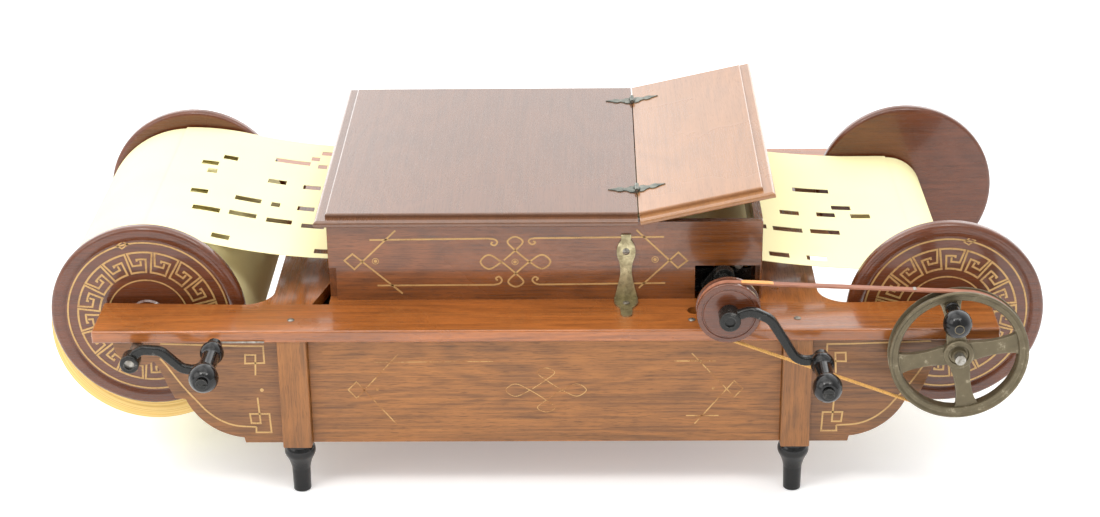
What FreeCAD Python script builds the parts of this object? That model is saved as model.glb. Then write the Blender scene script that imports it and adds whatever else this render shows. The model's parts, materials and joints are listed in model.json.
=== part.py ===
import FreeCAD, Part
import math
import os

from FreeCAD import Placement, Rotation, Vector

# A table-top reed organ played from a perforated paper roll.
# Machine frame: X along the paper's travel, Y from the player to the back, Z up from the floor.
# Every sub-part is drawn about the middle of the base and then moved by the shift_x and shift_y cells,
# which bring the origin under the middle of the whole object.

DIMENSIONS = {
    # shelf: two long rails and the boards between them
    "shift_x": 3.15, "shift_y": 63.7,
    "rail_length": 1042.0, "rail_width": 71.0, "rail_flare": 6.0, "base_depth": 560.0,
    "shelf_bottom": 204.0, "board_thickness": 15.0, "shelf_rounding": 2.5,
    "throat_half": 322.0, "throat_sweep": 35.0, "arm_waist_half": 360.0,
    "left_gap_inner": 254.0, "left_gap_outer": 274.0,
    # case under the shelf
    "post_centre": 291.7, "post_width": 34.0, "post_front": 277.6, "post_bottom": 65.0,
    "panel_face": 266.0, "panel_thickness": 14.0, "panel_bottom": 66.0, "panel_rounding": 1.0,
    "floor_board_thickness": 10.0,
    "foot_height": 65.0, "foot_bulb_radius": 18.5, "foot_stem_radius": 10.5, "foot_spacing": 258.0,
    "bracket_thickness": 18.0,
    # upper box
    "box_half": 254.0, "box_front": 197.3, "box_back": 221.3, "wall_top": 317.8, "wall_thickness": 10.0,
    "lid_overhang": 13.5, "lid_thickness": 12.0, "lid_step": 7.2, "lid_inset": 13.0, "lid_rounding": 4.0,
    "hinge_line": 108.7, "hinge_lift": 3.0, "hinge_knuckle": 2.6, "hinge_pin": 1.2,
    "flap_length": 158.4, "flap_raise": 12.5, "joint_gap": 0.3,
    # spools and paper
    "spool_x": 471.0, "spool_z": 197.5, "axle_radius": 6.0, "running_fit": 0.05,
    "flange_radius": 116.0, "flange_thickness": 15.0, "flange_inner_face": 182.5,
    "supply_core_radius": 30.0, "takeup_core_radius": 14.0,
    "paper_width": 355.0, "paper_thickness": 0.6,
    "supply_roll_radius": 120.6, "supply_roll_bore": 56.0, "supply_roll_z": 172.0,
    "takeup_roll_radius": 49.0, "takeup_roll_bore": 42.5, "takeup_roll_x": 443.5,
    # crank drive
    "crank_x": 209.1, "crank_z": 252.5, "throw_radius": 28.0, "front_throw": 300.0, "rear_throw": 234.0,
    "crank_pin_radius": 4.0, "cheek_radius": 8.0,
    "pulley_radius": 36.5, "pulley_groove": 32.2, "wheel_radius": 79.3, "wheel_groove": 74.0,
    "belt_line_pulley": 34.4, "belt_line_wheel": 76.4, "belt_plane": 297.0, "strap_width": 8.0,
    "strap_thickness": 2.0, "cord_radius": 1.8,
    "spindle_radius": 3.0, "knob_radius": 16.6,
}

# Perforations of the paper between the rolls, as (centre x, centre y, length along the paper).
PERFORATIONS_LEFT = (
    (-291.0, 147.0, 13.0), (-303.4, 125.5, 11.0), (-292.0, 101.4, 12.0), (-330.6, 107.3, 45.0),
    (-407.0, 85.5, 18.0), (-429.3, 60.4, 21.0), (-423.3, 35.5, 12.0), (-342.2, 36.5, 23.0),
    (-297.8, 30.5, 22.0), (-429.1, -31.8, 21.0), (-369.3, -32.0, 32.0), (-335.5, -34.7, 11.0),
    (-298.0, -37.2, 21.0), (-413.3, -81.7, 33.0), (-369.9, -78.6, 33.0), (-325.4, -82.4, 31.0),
    (-284.0, -88.0, 28.0), (-386.0, -152.4, 21.0), (-261.6, -159.2, 26.0),
)
PERFORATIONS_RIGHT = (
    (333.5, 54.5, 46.0), (367.0, 2.9, 24.0), (300.5, -22.7, 24.0), (345.7, -21.1, 23.0),
    (388.5, -22.3, 24.0), (262.0, -74.4, 12.0), (294.0, -76.0, 36.0), (339.7, -74.6, 36.0),
    (277.6, -154.0, 24.0), (322.2, -154.7, 24.0),
)
PERFORATION_WIDTH = 13.0

FACING = Rotation(Vector(1, 0, 0), 90)      # local X stays, local Y points up, local Z faces the player
UPRIGHT = Rotation()

doc = FreeCAD.newDocument("PaperRollOrgan")
sheet = doc.addObject("Spreadsheet::Sheet", "Sizes")
for row, (alias, value) in enumerate(DIMENSIONS.items(), start=1):
    sheet.set(f"A{row}", alias)
    sheet.set(f"B{row}", str(value))
    sheet.setAlias(f"B{row}", alias)
doc.recompute()

nodes = []


def size(alias):
    return float(sheet.get(alias))


def place(piece, x, y, z, rotation=UPRIGHT):
    piece.Placement = Placement(Vector(x + size("shift_x"), y + size("shift_y"), z), rotation)


def bind(feature, **expressions):
    for name, expression in expressions.items():
        feature.setExpression(name, expression)


def cell(alias):
    return f"Sizes.{alias}"


def keep(piece, label):
    """Name a finished sub-part and list it for export."""
    piece.Label = label
    nodes.append(piece)
    return piece


def new_body(label):
    return keep(doc.addObject("PartDesign::Body", label), label)


def plane(body, role):
    return next(item for item in body.Origin.OriginFeatures if item.Role == role)


def draw(body, role, geometry):
    """A sketch on one of the body's own origin planes."""
    sketch = body.newObject("Sketcher::SketchObject", "Outline")
    sketch.AttachmentSupport = [(plane(body, role), "")]
    sketch.MapMode = "FlatFace"
    sketch.addGeometry(geometry, False)
    return sketch


def chain(points, closed=True):
    """Edges through a list of points; a point written as a pair of points is an arc's middle and end."""
    start = Vector(*points[0], 0)
    first = start
    edges = []
    for item in list(points[1:]) + ([points[0]] if closed else []):
        if isinstance(item[0], tuple):
            middle, end = Vector(*item[0], 0), Vector(*item[1], 0)
            edges.append(Part.Arc(start, middle, end))
        else:
            end = Vector(*item, 0)
            if end.isEqual(start, 1e-6):
                continue
            edges.append(Part.LineSegment(start, end))
        start = end
    assert not closed or start.isEqual(first, 1e-6)
    return edges


def ring(radius, x=0.0, y=0.0):
    return Part.Circle(Vector(x, y, 0), Vector(0, 0, 1), radius)


def slot(x0, x1, y0, y1):
    """A slot along X with round ends."""
    half = (y1 - y0) / 2
    middle = (y0 + y1) / 2
    return chain([
        (x0 + half, y0), (x1 - half, y0), ((x1, middle), (x1 - half, y1)),
        (x0 + half, y1), ((x0, middle), (x0 + half, y0)),
    ])


def pad(body, geometry, length, role="XY_Plane", reverse=False):
    feature = body.newObject("PartDesign::Pad", "Pad")
    feature.Profile = draw(body, role, geometry)
    feature.Reversed = reverse
    bind(feature, Length=length)
    return feature


def pocket(body, geometry, role="XY_Plane"):
    """Cut an outline right through the body, both ways from its plane."""
    doc.recompute()
    before = body.Shape.Volume
    feature = body.newObject("PartDesign::Pocket", "Pocket")
    feature.Profile = draw(body, role, geometry)
    feature.Midplane = True
    feature.Type = 0
    feature.Length = 4000
    doc.recompute()
    assert body.Shape.Volume < before - 1, body.Label
    return feature


def turn(body, points):
    """Turn a closed outline, given as radius and height, about the body's Z axis."""
    feature = body.newObject("PartDesign::Revolution", "Turning")
    sketch = draw(body, "XZ_Plane", chain(points))
    feature.Profile = sketch
    feature.ReferenceAxis = (sketch, ["V_Axis"])
    feature.Angle = 360
    return feature


def cylinder(body, radius, length, x=0.0, y=0.0, z=0.0, cut=False):
    kind = "PartDesign::SubtractiveCylinder" if cut else "PartDesign::AdditiveCylinder"
    feature = body.newObject(kind, "Bore" if cut else "Cylinder")
    feature.Placement = Placement(Vector(x, y, z), Rotation())
    bind(feature, Radius=radius, Height=length)
    return feature


def block(body, length, width, height, x=0.0, y=0.0, z=0.0, cut=False):
    kind = "PartDesign::SubtractiveBox" if cut else "PartDesign::AdditiveBox"
    feature = body.newObject(kind, "Recess" if cut else "Block")
    feature.Placement = Placement(Vector(x, y, z), Rotation())
    bind(feature, Length=length, Width=width, Height=height)
    return feature


def soften(body, radius, chosen):
    """Round the edges whose middle point, in the body's own frame, passes the test."""
    doc.recompute()
    base = body.Tip
    names = []
    for number, edge in enumerate(base.Shape.Edges, start=1):
        middle = edge.valueAt((edge.FirstParameter + edge.LastParameter) / 2)
        if chosen(middle):
            names.append(f"Edge{number}")
    assert names, body.Label
    feature = body.newObject("PartDesign::Fillet", "Rounding")
    feature.Base = (base, names)
    bind(feature, Radius=radius)
    return feature


def near(value, target):
    return abs(value - target) < 0.01


def board(label, length, width, height, x, y, z, rounding=cell("panel_rounding"), chosen=None):
    """A plain board from its low corner, with the chosen edges eased."""
    body = new_body(label)
    block(body, length, width, height)
    soften(body, rounding, chosen or (lambda middle: True))
    place(body, x, y, z)
    return body


def group(label, master, places):
    """Several equal solids in one node."""
    doc.recompute()
    shape = master.Shape.copy()
    shape.Placement = Placement()
    copies = []
    for spot, rotation in places:
        copy = shape.copy()
        copy.Placement = Placement(spot, rotation)
        copies.append(copy)
    piece = doc.addObject("Part::Feature", label)
    piece.Shape = Part.makeCompound(copies)
    place(piece, 0, 0, 0)
    return keep(piece, label)


def pattern_body(label):
    """A body that is only copied, and isn't a sub-part itself."""
    return doc.addObject("PartDesign::Body", label)


# ---------------------------------------------------------------- shelf

SLOT_FRONT = (165.5, 252.7, -239.0, -219.0)
SLOT_REAR = (165.5, 270.7, -197.5, -168.6)
SHELF_TOP = size("shelf_bottom") + size("board_thickness")
HALF_DEPTH = size("base_depth") / 2
RAIL_EDGE = HALF_DEPTH - size("rail_width")


def make_rail(label, side):
    """A rail whose inner edge flares a little towards both ends; side is -1 at the front."""
    end = size("rail_length") / 2
    waist = size("arm_waist_half")
    outer = side * HALF_DEPTH
    inner = side * RAIL_EDGE
    flared = side * (RAIL_EDGE - size("rail_flare"))
    body = new_body(label)
    outline = [(-end, outer), (end, outer), (end, flared), (waist, inner), (-waist, inner), (-end, flared)]
    pad(body, chain(outline), cell("board_thickness"))
    thickness = size("board_thickness")
    soften(body, cell("shelf_rounding"), lambda p: near(p.y, outer) or (near(abs(p.x), end) and p.z > thickness / 2))
    if side < 0:
        pocket(body, slot(*SLOT_FRONT))
    place(body, 0, 0, size("shelf_bottom"))


NOTCH_BACK = -130.0     # rear end of the open triangular notch left of the box


def make_cross_board(label, side):
    """A board across the rails, swept out into them at both ends; side is -1 at the left.

    The left board has a triangular notch beside the box's front corner.
    """
    outer = side * size("throat_half")
    inner = side * size("left_gap_inner")
    sweep = size("throat_sweep")
    lean = sweep * (1 - math.sqrt(0.5))
    tip = outer + side * sweep
    low = -RAIL_EDGE
    body = new_body(label)
    notch = [(inner, NOTCH_BACK), (-size("left_gap_outer"), low)] if side < 0 else [(inner, low)]
    outline = [
        (tip, low), ((outer + side * lean, low + lean), (outer, low + sweep)),
        (outer, -low - sweep), ((outer + side * lean, -low - lean), (tip, -low)), (inner, -low), *notch,
    ]
    pad(body, chain(outline), cell("board_thickness"))
    place(body, 0, 0, size("shelf_bottom"))


def make_bed_board():
    """The board under the box, with the rear pitman's slot."""
    body = new_body("bed_board")
    half = size("left_gap_inner")
    pad(body, chain([(-half, -RAIL_EDGE), (half, -RAIL_EDGE), (half, RAIL_EDGE), (-half, RAIL_EDGE)]),
        cell("board_thickness"))
    pocket(body, slot(*SLOT_REAR))
    place(body, 0, 0, size("shelf_bottom"))


def make_felt_apron():
    """The dark sloping strip seen through the gap left of the box."""
    body = new_body("felt_apron")
    block(body, "26", "380", "3")
    place(body, -280.0, -190.0, 197.0, Rotation(Vector(0, 1, 0), 40))


# ---------------------------------------------------------------- case

def make_case():
    post_inner = size("post_centre") - size("post_width") / 2
    post_outer = size("post_centre") + size("post_width") / 2
    face = size("panel_face")
    thick = size("panel_thickness")
    low = size("panel_bottom")
    height = "Sizes.shelf_bottom - Sizes.panel_bottom"
    across = "2 * Sizes.post_centre - Sizes.post_width"
    board("front_panel", across, cell("panel_thickness"), height, -post_inner, -face, low)
    board("back_panel", across, cell("panel_thickness"), height, -post_inner, face - thick, low)
    post_back = size("post_front") - size("post_width")
    deep = "2 * (Sizes.post_front - Sizes.post_width)"
    end_face = post_outer - 8.0
    board("left_end_panel", cell("panel_thickness"), deep, height, -end_face, -post_back, low)
    board("right_end_panel", cell("panel_thickness"), deep, height, end_face - thick, -post_back, low)
    inside = end_face - thick
    inner_face = face - thick
    body = new_body("bottom_board")
    block(body, f"{2 * inside}", f"{2 * inner_face}", cell("floor_board_thickness"))
    for x in (0, 2 * inside - (inside - post_inner)):
        for y in (0, 2 * inner_face - (inner_face - post_back)):
            block(body, f"{inside - post_inner}", f"{inner_face - post_back}", "50", x, y, -10, cut=True)
    place(body, -inside, -inner_face, low)


def make_corner_posts():
    master = pattern_body("corner_post_pattern")
    block(master, cell("post_width"), cell("post_width"), "Sizes.shelf_bottom - Sizes.post_bottom")
    width = size("post_width")
    soften(master, "1.5", lambda p: near(p.x, 0) or near(p.x, width))
    left = -size("post_centre") - width / 2
    right = size("post_centre") - width / 2
    front = -size("post_front")
    back = size("post_front") - width
    spots = [(Vector(x, y, size("post_bottom")), UPRIGHT) for x in (left, right) for y in (front, back)]
    group("corner_posts", master, spots)


def make_turned_feet():
    """A squat bulb over a tapering stem."""
    top = size("foot_height")
    bulb = size("foot_bulb_radius")
    stem = size("foot_stem_radius")
    master = pattern_body("turned_foot_pattern")
    turn(master, [
        (0, 0), (stem - 1, 0), ((stem - 0.3, 0.3), (stem, 1)), (stem + 0.5, 0.45 * top),
        ((stem + 2.5, 0.58 * top), (bulb - 1.5, 0.72 * top)), ((bulb, 0.83 * top), (bulb - 2.5, 0.93 * top)),
        (bulb - 2.5, top), (0, top),
    ])
    spacing = size("foot_spacing")
    spots = [(Vector(x, y, 0), UPRIGHT)
             for x in (-size("post_centre"), size("post_centre")) for y in (-spacing, spacing)]
    group("turned_feet", master, spots)


def make_bracket(label, side, back_face):
    """An ogee bracket outside a post, with a lobe that carries the spool's axle.

    Its outline runs outward from the post; side is -1 at the left.
    """
    reach = size("spool_x") - size("post_centre") - size("post_width") / 2
    axle_z = size("spool_z")
    lobe = 29.0
    top = size("shelf_bottom")
    low = size("panel_bottom")
    outline = [
        (0, low), (45.6, low), (47, 72.8), ((89, 91), (112.3, 124.2)), (124.7, 125.5),
        (132.5, 143), ((138, 159), (reach - 16.7, axle_z - 23.7)),
        ((reach + lobe * math.sqrt(0.5), axle_z - lobe * math.sqrt(0.5)), (reach + lobe, axle_z)),
        (reach + lobe, top), (0, top),
    ]

    def mirrored(point):
        if isinstance(point[0], tuple):
            return tuple((side * x, y) for x, y in point)
        return (side * point[0], point[1])

    body = new_body(label)
    pad(body, chain([mirrored(point) for point in outline]), cell("bracket_thickness"))
    radius = size("axle_radius") + size("running_fit")
    pocket(body, [ring(radius, side * reach, axle_z)])
    place(body, side * (size("post_centre") + size("post_width") / 2), back_face, 0, FACING)


# ---------------------------------------------------------------- upper box

THROW_RECESS = 44.0     # height of the relief in the right wall's inner face, beside the rear throw


def make_box_walls():
    half = size("box_half")
    front = size("box_front")
    back = size("box_back")
    thick = size("wall_thickness")
    tall = f"Sizes.wall_top - {SHELF_TOP}"
    across = "2 * Sizes.box_half"
    vertical = lambda p: near(p.x, 0) or near(p.x, 2 * half)

    wall = board("box_front_wall", across, cell("wall_thickness"), tall, -half, -front, SHELF_TOP, "1.5", vertical)
    block(wall, "9.2", "60", "41.7", -0.01, -10, -0.01, cut=True)
    block(wall, "75.8", "60", "42.8", 175.7 + half, -10, -0.01, cut=True)
    board("box_back_wall", across, cell("wall_thickness"), tall, -half, back - thick, SHELF_TOP, "1.5", vertical)

    deep = "Sizes.box_front + Sizes.box_back - 2 * Sizes.wall_thickness"
    slit = "Sizes.paper_width + 10"
    for label, x, slit_low in (("box_left_wall", -half, 256.0), ("box_right_wall", half - thick, 252.0)):
        wall = new_body(label)
        block(wall, cell("wall_thickness"), deep, tall)
        offset = front - thick - (size("paper_width") + 10) / 2
        block(wall, "60", slit, "16", -20, offset, slit_low - SHELF_TOP, cut=True)
        if x > 0:
            recess_low = size("crank_z") - THROW_RECESS / 2
            block(wall, "3", "26", f"{THROW_RECESS}", -0.01, -0.01, recess_low - SHELF_TOP, cut=True)
        place(wall, x, -front + thick, SHELF_TOP)


def moulded_panel(body, length, thickness, free_sides):
    """A lid panel: a wide lower board with rounded edges under a smaller raised field.

    It is drawn from the hinge side along X; free_sides is 1 when the far side has the moulding.
    """
    overhang = size("lid_overhang")
    inset = size("lid_inset")
    depth = size("box_front") + size("box_back") + 2 * overhang
    step = size("lid_step") - (size("lid_thickness") - thickness)
    block(body, f"{length}", f"{depth}", f"{step}")
    block(body, f"{length - inset}", f"{depth - 2 * inset}", f"{thickness}", 0 if free_sides else inset, inset, 0)
    far = length if free_sides else 0
    outer = lambda p: near(p.y, 0) or near(p.y, depth) or near(p.x, far)
    soften(body, cell("lid_rounding"), lambda p: near(p.z, step) and outer(p))
    soften(body, "1.5", lambda p: near(p.z, 0) and outer(p))
    far_field = length - inset if free_sides else inset
    soften(body, "2.0", lambda p: near(p.z, thickness) and (
        near(p.y, inset) or near(p.y, depth - inset) or near(p.x, far_field)))


def make_lids():
    overhang = size("lid_overhang")
    left = -size("box_half") - overhang
    length = size("hinge_line") - size("joint_gap") - left
    body = new_body("fixed_lid")
    moulded_panel(body, length, size("lid_thickness"), 0)
    place(body, left, -size("box_front") - overhang, size("wall_top"))

    flap = new_body("lid_flap")
    thickness = size("lid_thickness") - 0.5
    moulded_panel(flap, size("flap_length"), thickness, 1)
    swing = Rotation(Vector(0, 1, 0), -size("flap_raise"))
    corner = swing.multVec(Vector(size("joint_gap"), 0, -size("hinge_lift") - thickness))
    hinge_z = size("wall_top") + size("lid_thickness") + size("hinge_lift")
    place(flap, size("hinge_line") + corner.x, -size("box_front") - overhang, hinge_z + corner.z, swing)


HINGE_PLACES = (-130.0, 169.0)
KNUCKLE = 6.0


def strap_leaf(label, side):
    """One leaf of a strap hinge: a waisted plate with a spear tip, and its own knuckles.

    side is -1 for the leaf on the lid, which has the two outer knuckles, and 1 for the flap's leaf.
    """
    lift = size("hinge_lift")
    radius = size("hinge_knuckle")
    gap = size("joint_gap")
    thick = 1.2
    master = pattern_body(label + "_pattern")
    half = 1.5 * KNUCKLE
    clear = side * 3.1
    reach = side * 34.0
    pad(master, chain([
        (clear, -half), (side * 8.0, -half), ((side * 11.0, -5.2), (side * 15.5, -3.4)),
        ((side * 20.0, -6.2), (side * 25.0, -3.2)), (reach, 0),
        (side * 25.0, 3.2), ((side * 20.0, 6.2), (side * 15.5, 3.4)),
        ((side * 11.0, 5.2), (side * 8.0, half)), (clear, half),
    ]), f"{thick}")
    spans = ((-half, -KNUCKLE / 2), (KNUCKLE / 2, half)) if side < 0 else ((-KNUCKLE / 2 + gap, KNUCKLE / 2 - gap),)
    for y0, y1 in spans:
        barrel = master.newObject("PartDesign::AdditiveCylinder", "Knuckle")
        barrel.Placement = Placement(Vector(0, y0, lift), Rotation(Vector(1, 0, 0), -90))
        bind(barrel, Radius=cell("hinge_knuckle"), Height=f"{y1 - y0}")
        x0 = min(0.0, side * 4.0)
        block(master, "4.0", f"{y1 - y0}", f"{lift - radius + 1.4}", x0, y0, 0)
        bore = master.newObject("PartDesign::SubtractiveCylinder", "PinBore")
        bore.Placement = Placement(Vector(0, y0 - 1, lift), Rotation(Vector(1, 0, 0), -90))
        fit = "Sizes.hinge_pin" if side < 0 else "Sizes.hinge_pin + Sizes.running_fit"
        bind(bore, Radius=fit, Height=f"{y1 - y0 + 2}")
    return master


def make_hinges():
    surface = size("wall_top") + size("lid_thickness")
    line = size("hinge_line")
    group("hinge_lid_leaves", strap_leaf("hinge_lid_leaf", -1),
          [(Vector(line, y, surface), UPRIGHT) for y in HINGE_PLACES])
    swing = Rotation(Vector(0, 1, 0), -size("flap_raise"))
    drop = swing.multVec(Vector(0, 0, -size("hinge_lift")))
    hinge_z = surface + size("hinge_lift")
    group("hinge_flap_leaves", strap_leaf("hinge_flap_leaf", 1),
          [(Vector(line + drop.x, y, hinge_z + drop.z), swing) for y in HINGE_PLACES])
    pin = pattern_body("hinge_pin_pattern")
    cylinder(pin, cell("hinge_pin"), f"{3 * KNUCKLE + 2}")
    along = Rotation(Vector(1, 0, 0), -90)
    group("hinge_pins", pin, [(Vector(line, y - 1.5 * KNUCKLE - 1, hinge_z), along) for y in HINGE_PLACES])


CLAMP_X = 95.0


def make_clamp_plate():
    """A brass strap: hourglass on the box front, bent out over the shelf."""
    body = new_body("box_clamp_plate")
    thick = 2.0
    drop = SHELF_TOP
    pad(body, chain([
        (-14.0, 0.0), ((-11.4, 10.5), (-7.8, 27.0)), ((-6.6, 38.0), (-8.6, 51.0)),
        ((-10.9, 63.0), (-9.0, 71.0)), (-5.7, 77.0), (-5.7, 83.6), (5.7, 83.6), (5.7, 77.0), (9.0, 71.0),
        ((10.9, 63.0), (8.6, 51.0)), ((6.6, 38.0), (7.8, 27.0)), ((11.4, 10.5), (14.0, 0.0)),
    ]), f"{thick}")
    foot = body.newObject("PartDesign::Pad", "Foot")
    foot.Profile = draw(body, "XZ_Plane", chain([
        (-14.0, 0.0), (-14.0, 8.0), ((-12.4, 18.5), (-7.4, 27.0)), (-6.6, 42.0), ((0.0, 50.0), (6.6, 42.0)),
        (7.4, 27.0), ((12.4, 18.5), (14.0, 8.0)), (14.0, 0.0),
    ]))
    foot.Reversed = True
    bind(foot, Length=f"{thick}")
    place(body, CLAMP_X, -size("box_front"), drop, FACING)


def make_screws():
    """Slotted screw heads, seated on the boards and plates that they hold."""
    master = pattern_body("screw_pattern")
    turn(master, [(0, 0), (4.2, 0), (4.2, 0.6), ((2.4, 1.45), (0, 1.8))])
    block(master, "10", "0.9", "2", -5, -0.45, 0.9, cut=True)
    edge = HALF_DEPTH - 29.0
    on_shelf = [(-294.0, -edge), (292.0, -edge), (170.0, -edge - 3), (-294.0, edge), (292.0, edge), (-100.0, edge)]
    angles = (20, 75, 130, 45, 100, 10)
    spots = [(Vector(x, y, SHELF_TOP), Rotation(Vector(0, 0, 1), turned)) for (x, y), turned in zip(on_shelf, angles)]
    plate = 2.0
    spots.append((Vector(CLAMP_X, -212.0, SHELF_TOP + plate), Rotation(Vector(0, 0, 1), 35)))
    spots.append((Vector(CLAMP_X, -size("box_front") - plate, SHELF_TOP + 62.0), FACING))
    group("wood_screws", master, spots)


# ---------------------------------------------------------------- spools and paper

def make_flange(label, y_inner, facing_out):
    """A turned disc with a rounded rim bead on its outer face; facing_out is -1 for the front disc."""
    radius = size("flange_radius")
    thick = size("flange_thickness")
    bead = 0.85 * radius
    body = new_body(label)
    bore = size("axle_radius")
    turn(body, [
        (bore, 0), (radius - 5, 0), ((radius - 1.5, 1.5), (radius, 5)), (radius, thick - 5),
        ((radius - 2.0, thick - 1.2), (radius - 7, thick)), ((bead + 4, thick - 0.4), (bead, thick - 2.5)),
        (22, thick - 2.5), (20, thick - 0.5), (bore, thick - 0.5),
    ])
    rotation = FACING if facing_out < 0 else Rotation(Vector(1, 0, 0), -90)
    return body, y_inner, rotation


def make_spool(prefix, side, core_radius):
    x = side * size("spool_x")
    z = size("spool_z")
    inner = size("flange_inner_face")
    for label, y_inner, way in (("front", -inner, -1), ("rear", inner, 1)):
        body, y, rotation = make_flange(f"{prefix}_{label}_flange", y_inner, way)
        place(body, x, y, z, rotation)
    core = new_body(f"{prefix}_core")
    cylinder(core, core_radius, "2 * Sizes.flange_inner_face")
    cylinder(core, cell("axle_radius"), "2 * Sizes.flange_inner_face + 2", z=-1, cut=True)
    place(core, x, inner, z, FACING)
    axle = new_body(f"{prefix}_axle")
    front_end = 318.0
    back_end = 272.0
    cylinder(axle, cell("axle_radius"), f"{front_end + back_end}")
    place(axle, x, back_end, z, FACING)


def make_paper_roll(label, x, z, radius, bore):
    body = new_body(label)
    cylinder(body, radius, cell("paper_width"))
    cylinder(body, bore, "Sizes.paper_width + 2", z=-1, cut=True)
    place(body, x, size("paper_width") / 2, z, FACING)


def make_paper_web():
    """The perforated paper from the top of the supply roll, through the box, to the take-up roll."""
    thin = size("paper_thickness")
    start = (-478.0, size("supply_roll_z") + size("supply_roll_radius") + 0.6)
    end = (size("takeup_roll_x"), size("spool_z") + size("takeup_roll_radius") + 0.5)
    under = [start, ((-432.0, 290.6), (-389.0, 282.4)), ((-325.0, 270.4), (-257.0, 264.0)),
             (254.0, 258.8), ((315.0, 251.2), (384.0, end[1])), end]
    over = [(end[0], end[1] + thin), (384.0, end[1] + thin), ((315.0, 251.2 + thin), (254.0, 258.8 + thin)),
            (-257.0, 264.0 + thin), ((-325.0, 270.4 + thin), (-389.0, 282.4 + thin)),
            ((-432.0, 290.6 + thin), (start[0], start[1] + thin))]
    body = new_body("paper_web")
    pad(body, chain(under + over), cell("paper_width"))
    half = size("paper_width") / 2
    width = PERFORATION_WIDTH
    for holes in (PERFORATIONS_LEFT, PERFORATIONS_RIGHT):
        outlines = []
        for x, y, long in holes:
            across = half - y
            outlines += chain([
                (x - long / 2, across - width / 2), (x + long / 2, across - width / 2),
                (x + long / 2, across + width / 2), (x - long / 2, across + width / 2),
            ])
        doc.recompute()
        before = body.Shape.Volume
        cut = body.newObject("PartDesign::Pocket", "Perforations")
        cut.Profile = draw(body, "XZ_Plane", outlines)
        cut.Midplane = True
        cut.Length = 2000
        doc.recompute()
        assert body.Shape.Volume < before - 1
    place(body, 0, half, 0, FACING)


# ---------------------------------------------------------------- crank drive

def neck(ball, centre, waist, way):
    """The hollow between a ball on the axis and a straight waist, as its two ends and its middle."""
    radius = (0.8 * ball - waist) / 0.2
    on_ball = (0.8 * ball, centre + way * 0.6 * ball)
    on_waist = (waist, centre + way * 0.6 * (ball + radius))
    middle = (0.8 * (ball + radius) - 0.9487 * radius, centre + way * (0.6 * (ball + radius) - 0.3162 * radius))
    return on_ball, middle, on_waist


def handle_profile(bore, length, ball, bulb):
    """Radius and height of a turned handle: a bulb at the arm, a waist and a larger ball."""
    centre = length - 0.8 * ball - 1.0
    low = 0.8 * bulb
    waist = 0.58 * ball
    leave, leave_middle, waist_start = neck(bulb, low, waist, 1)
    arrive, arrive_middle, waist_end = neck(ball, centre, waist, -1)
    return [
        (bore, 0), (0.6 * bulb, 0), ((bulb, low), leave), (leave_middle, waist_start), waist_end,
        (arrive_middle, arrive), ((ball, centre), (0.6 * ball, centre + 0.8 * ball)),
        (bore, centre + 0.8 * ball),
    ]


def knob_profile(bore, collar, waist, ball, centre):
    """Radius and height of a short turned knob: a collar, a hollow neck and a ball."""
    arrive, arrive_middle, waist_end = neck(ball, centre, waist, -1)
    return [
        (bore, 0), (collar, 0), (collar, 2.0), (waist, 3.5), waist_end, (arrive_middle, arrive),
        ((ball, centre), (0.6 * ball, centre + 0.8 * ball)), (bore, centre + 0.8 * ball),
    ]


def make_handle(label, x, y, z, profile):
    body = new_body(label)
    turn(body, profile)
    place(body, x, y, z, FACING)


def rounded_route(points, radius):
    """A wire through flat points whose corners are tangent arcs."""
    start = Vector(*points[0], 0)
    edges = []
    for here, following in zip(points[1:-1], points[2:]):
        corner = Vector(*here, 0)
        back = (start - corner).normalize()
        ahead = (Vector(*following, 0) - corner).normalize()
        half_angle = back.getAngle(ahead) / 2
        reach = radius / math.tan(half_angle)
        first = corner + back * reach
        last = corner + ahead * reach
        inward = (back + ahead).normalize()
        middle = corner + inward * (radius / math.sin(half_angle) - radius)
        edges.append(Part.LineSegment(start, first).toShape())
        edges.append(Part.Arc(first, middle, last).toShape())
        start = last
    edges.append(Part.LineSegment(start, Vector(*points[-1], 0)).toShape())
    return Part.Wire(edges)


def make_crank_arm(label, route, corner, boss_radius, boss_length, spindle_length, place_at):
    """A forged S-shaped arm with a boss on the shaft and a riveted spindle for its handle."""
    half_width = 5.4
    thick = 9.0
    wire = rounded_route(route, corner)
    arm = Part.Face(wire.makeOffset2D(half_width)).extrude(Vector(0, 0, thick))
    arm = arm.makeFillet(2.6, [edge for edge in arm.Edges if near(edge.BoundBox.ZLength, 0)])
    arm.translate(Vector(0, 0, 5.0))
    boss = Part.makeCylinder(boss_radius, boss_length)
    boss = boss.makeFillet(2.0, [edge for edge in boss.Edges if near(edge.BoundBox.ZMin, boss_length)])
    x, y = route[-1]
    eye = Part.makeCylinder(8.6, thick, Vector(x, y, 5.0))
    spindle = Part.makeCylinder(size("spindle_radius"), spindle_length + 1.0, Vector(x, y, 5.0 + thick - 0.5))
    head_z = 5.0 + thick + spindle_length + 0.4
    head = Part.makeCylinder(6.6, 2.4, Vector(x, y, head_z))
    nick = Part.makeBox(14, 1.2, 2.0, Vector(x - 7, y - 0.6, head_z + 1.4))
    shape = boss.fuse([arm, eye, spindle, head]).cut(nick)
    shape = shape.cut(Part.makeCylinder(size("axle_radius"), 30, Vector(0, 0, -15 + 0.6 * boss_length)))
    piece = doc.addObject("Part::Feature", label)
    piece.Shape = shape.removeSplitter()
    place(piece, *place_at, FACING)
    keep(piece, label)
    return x, y, thick


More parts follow.
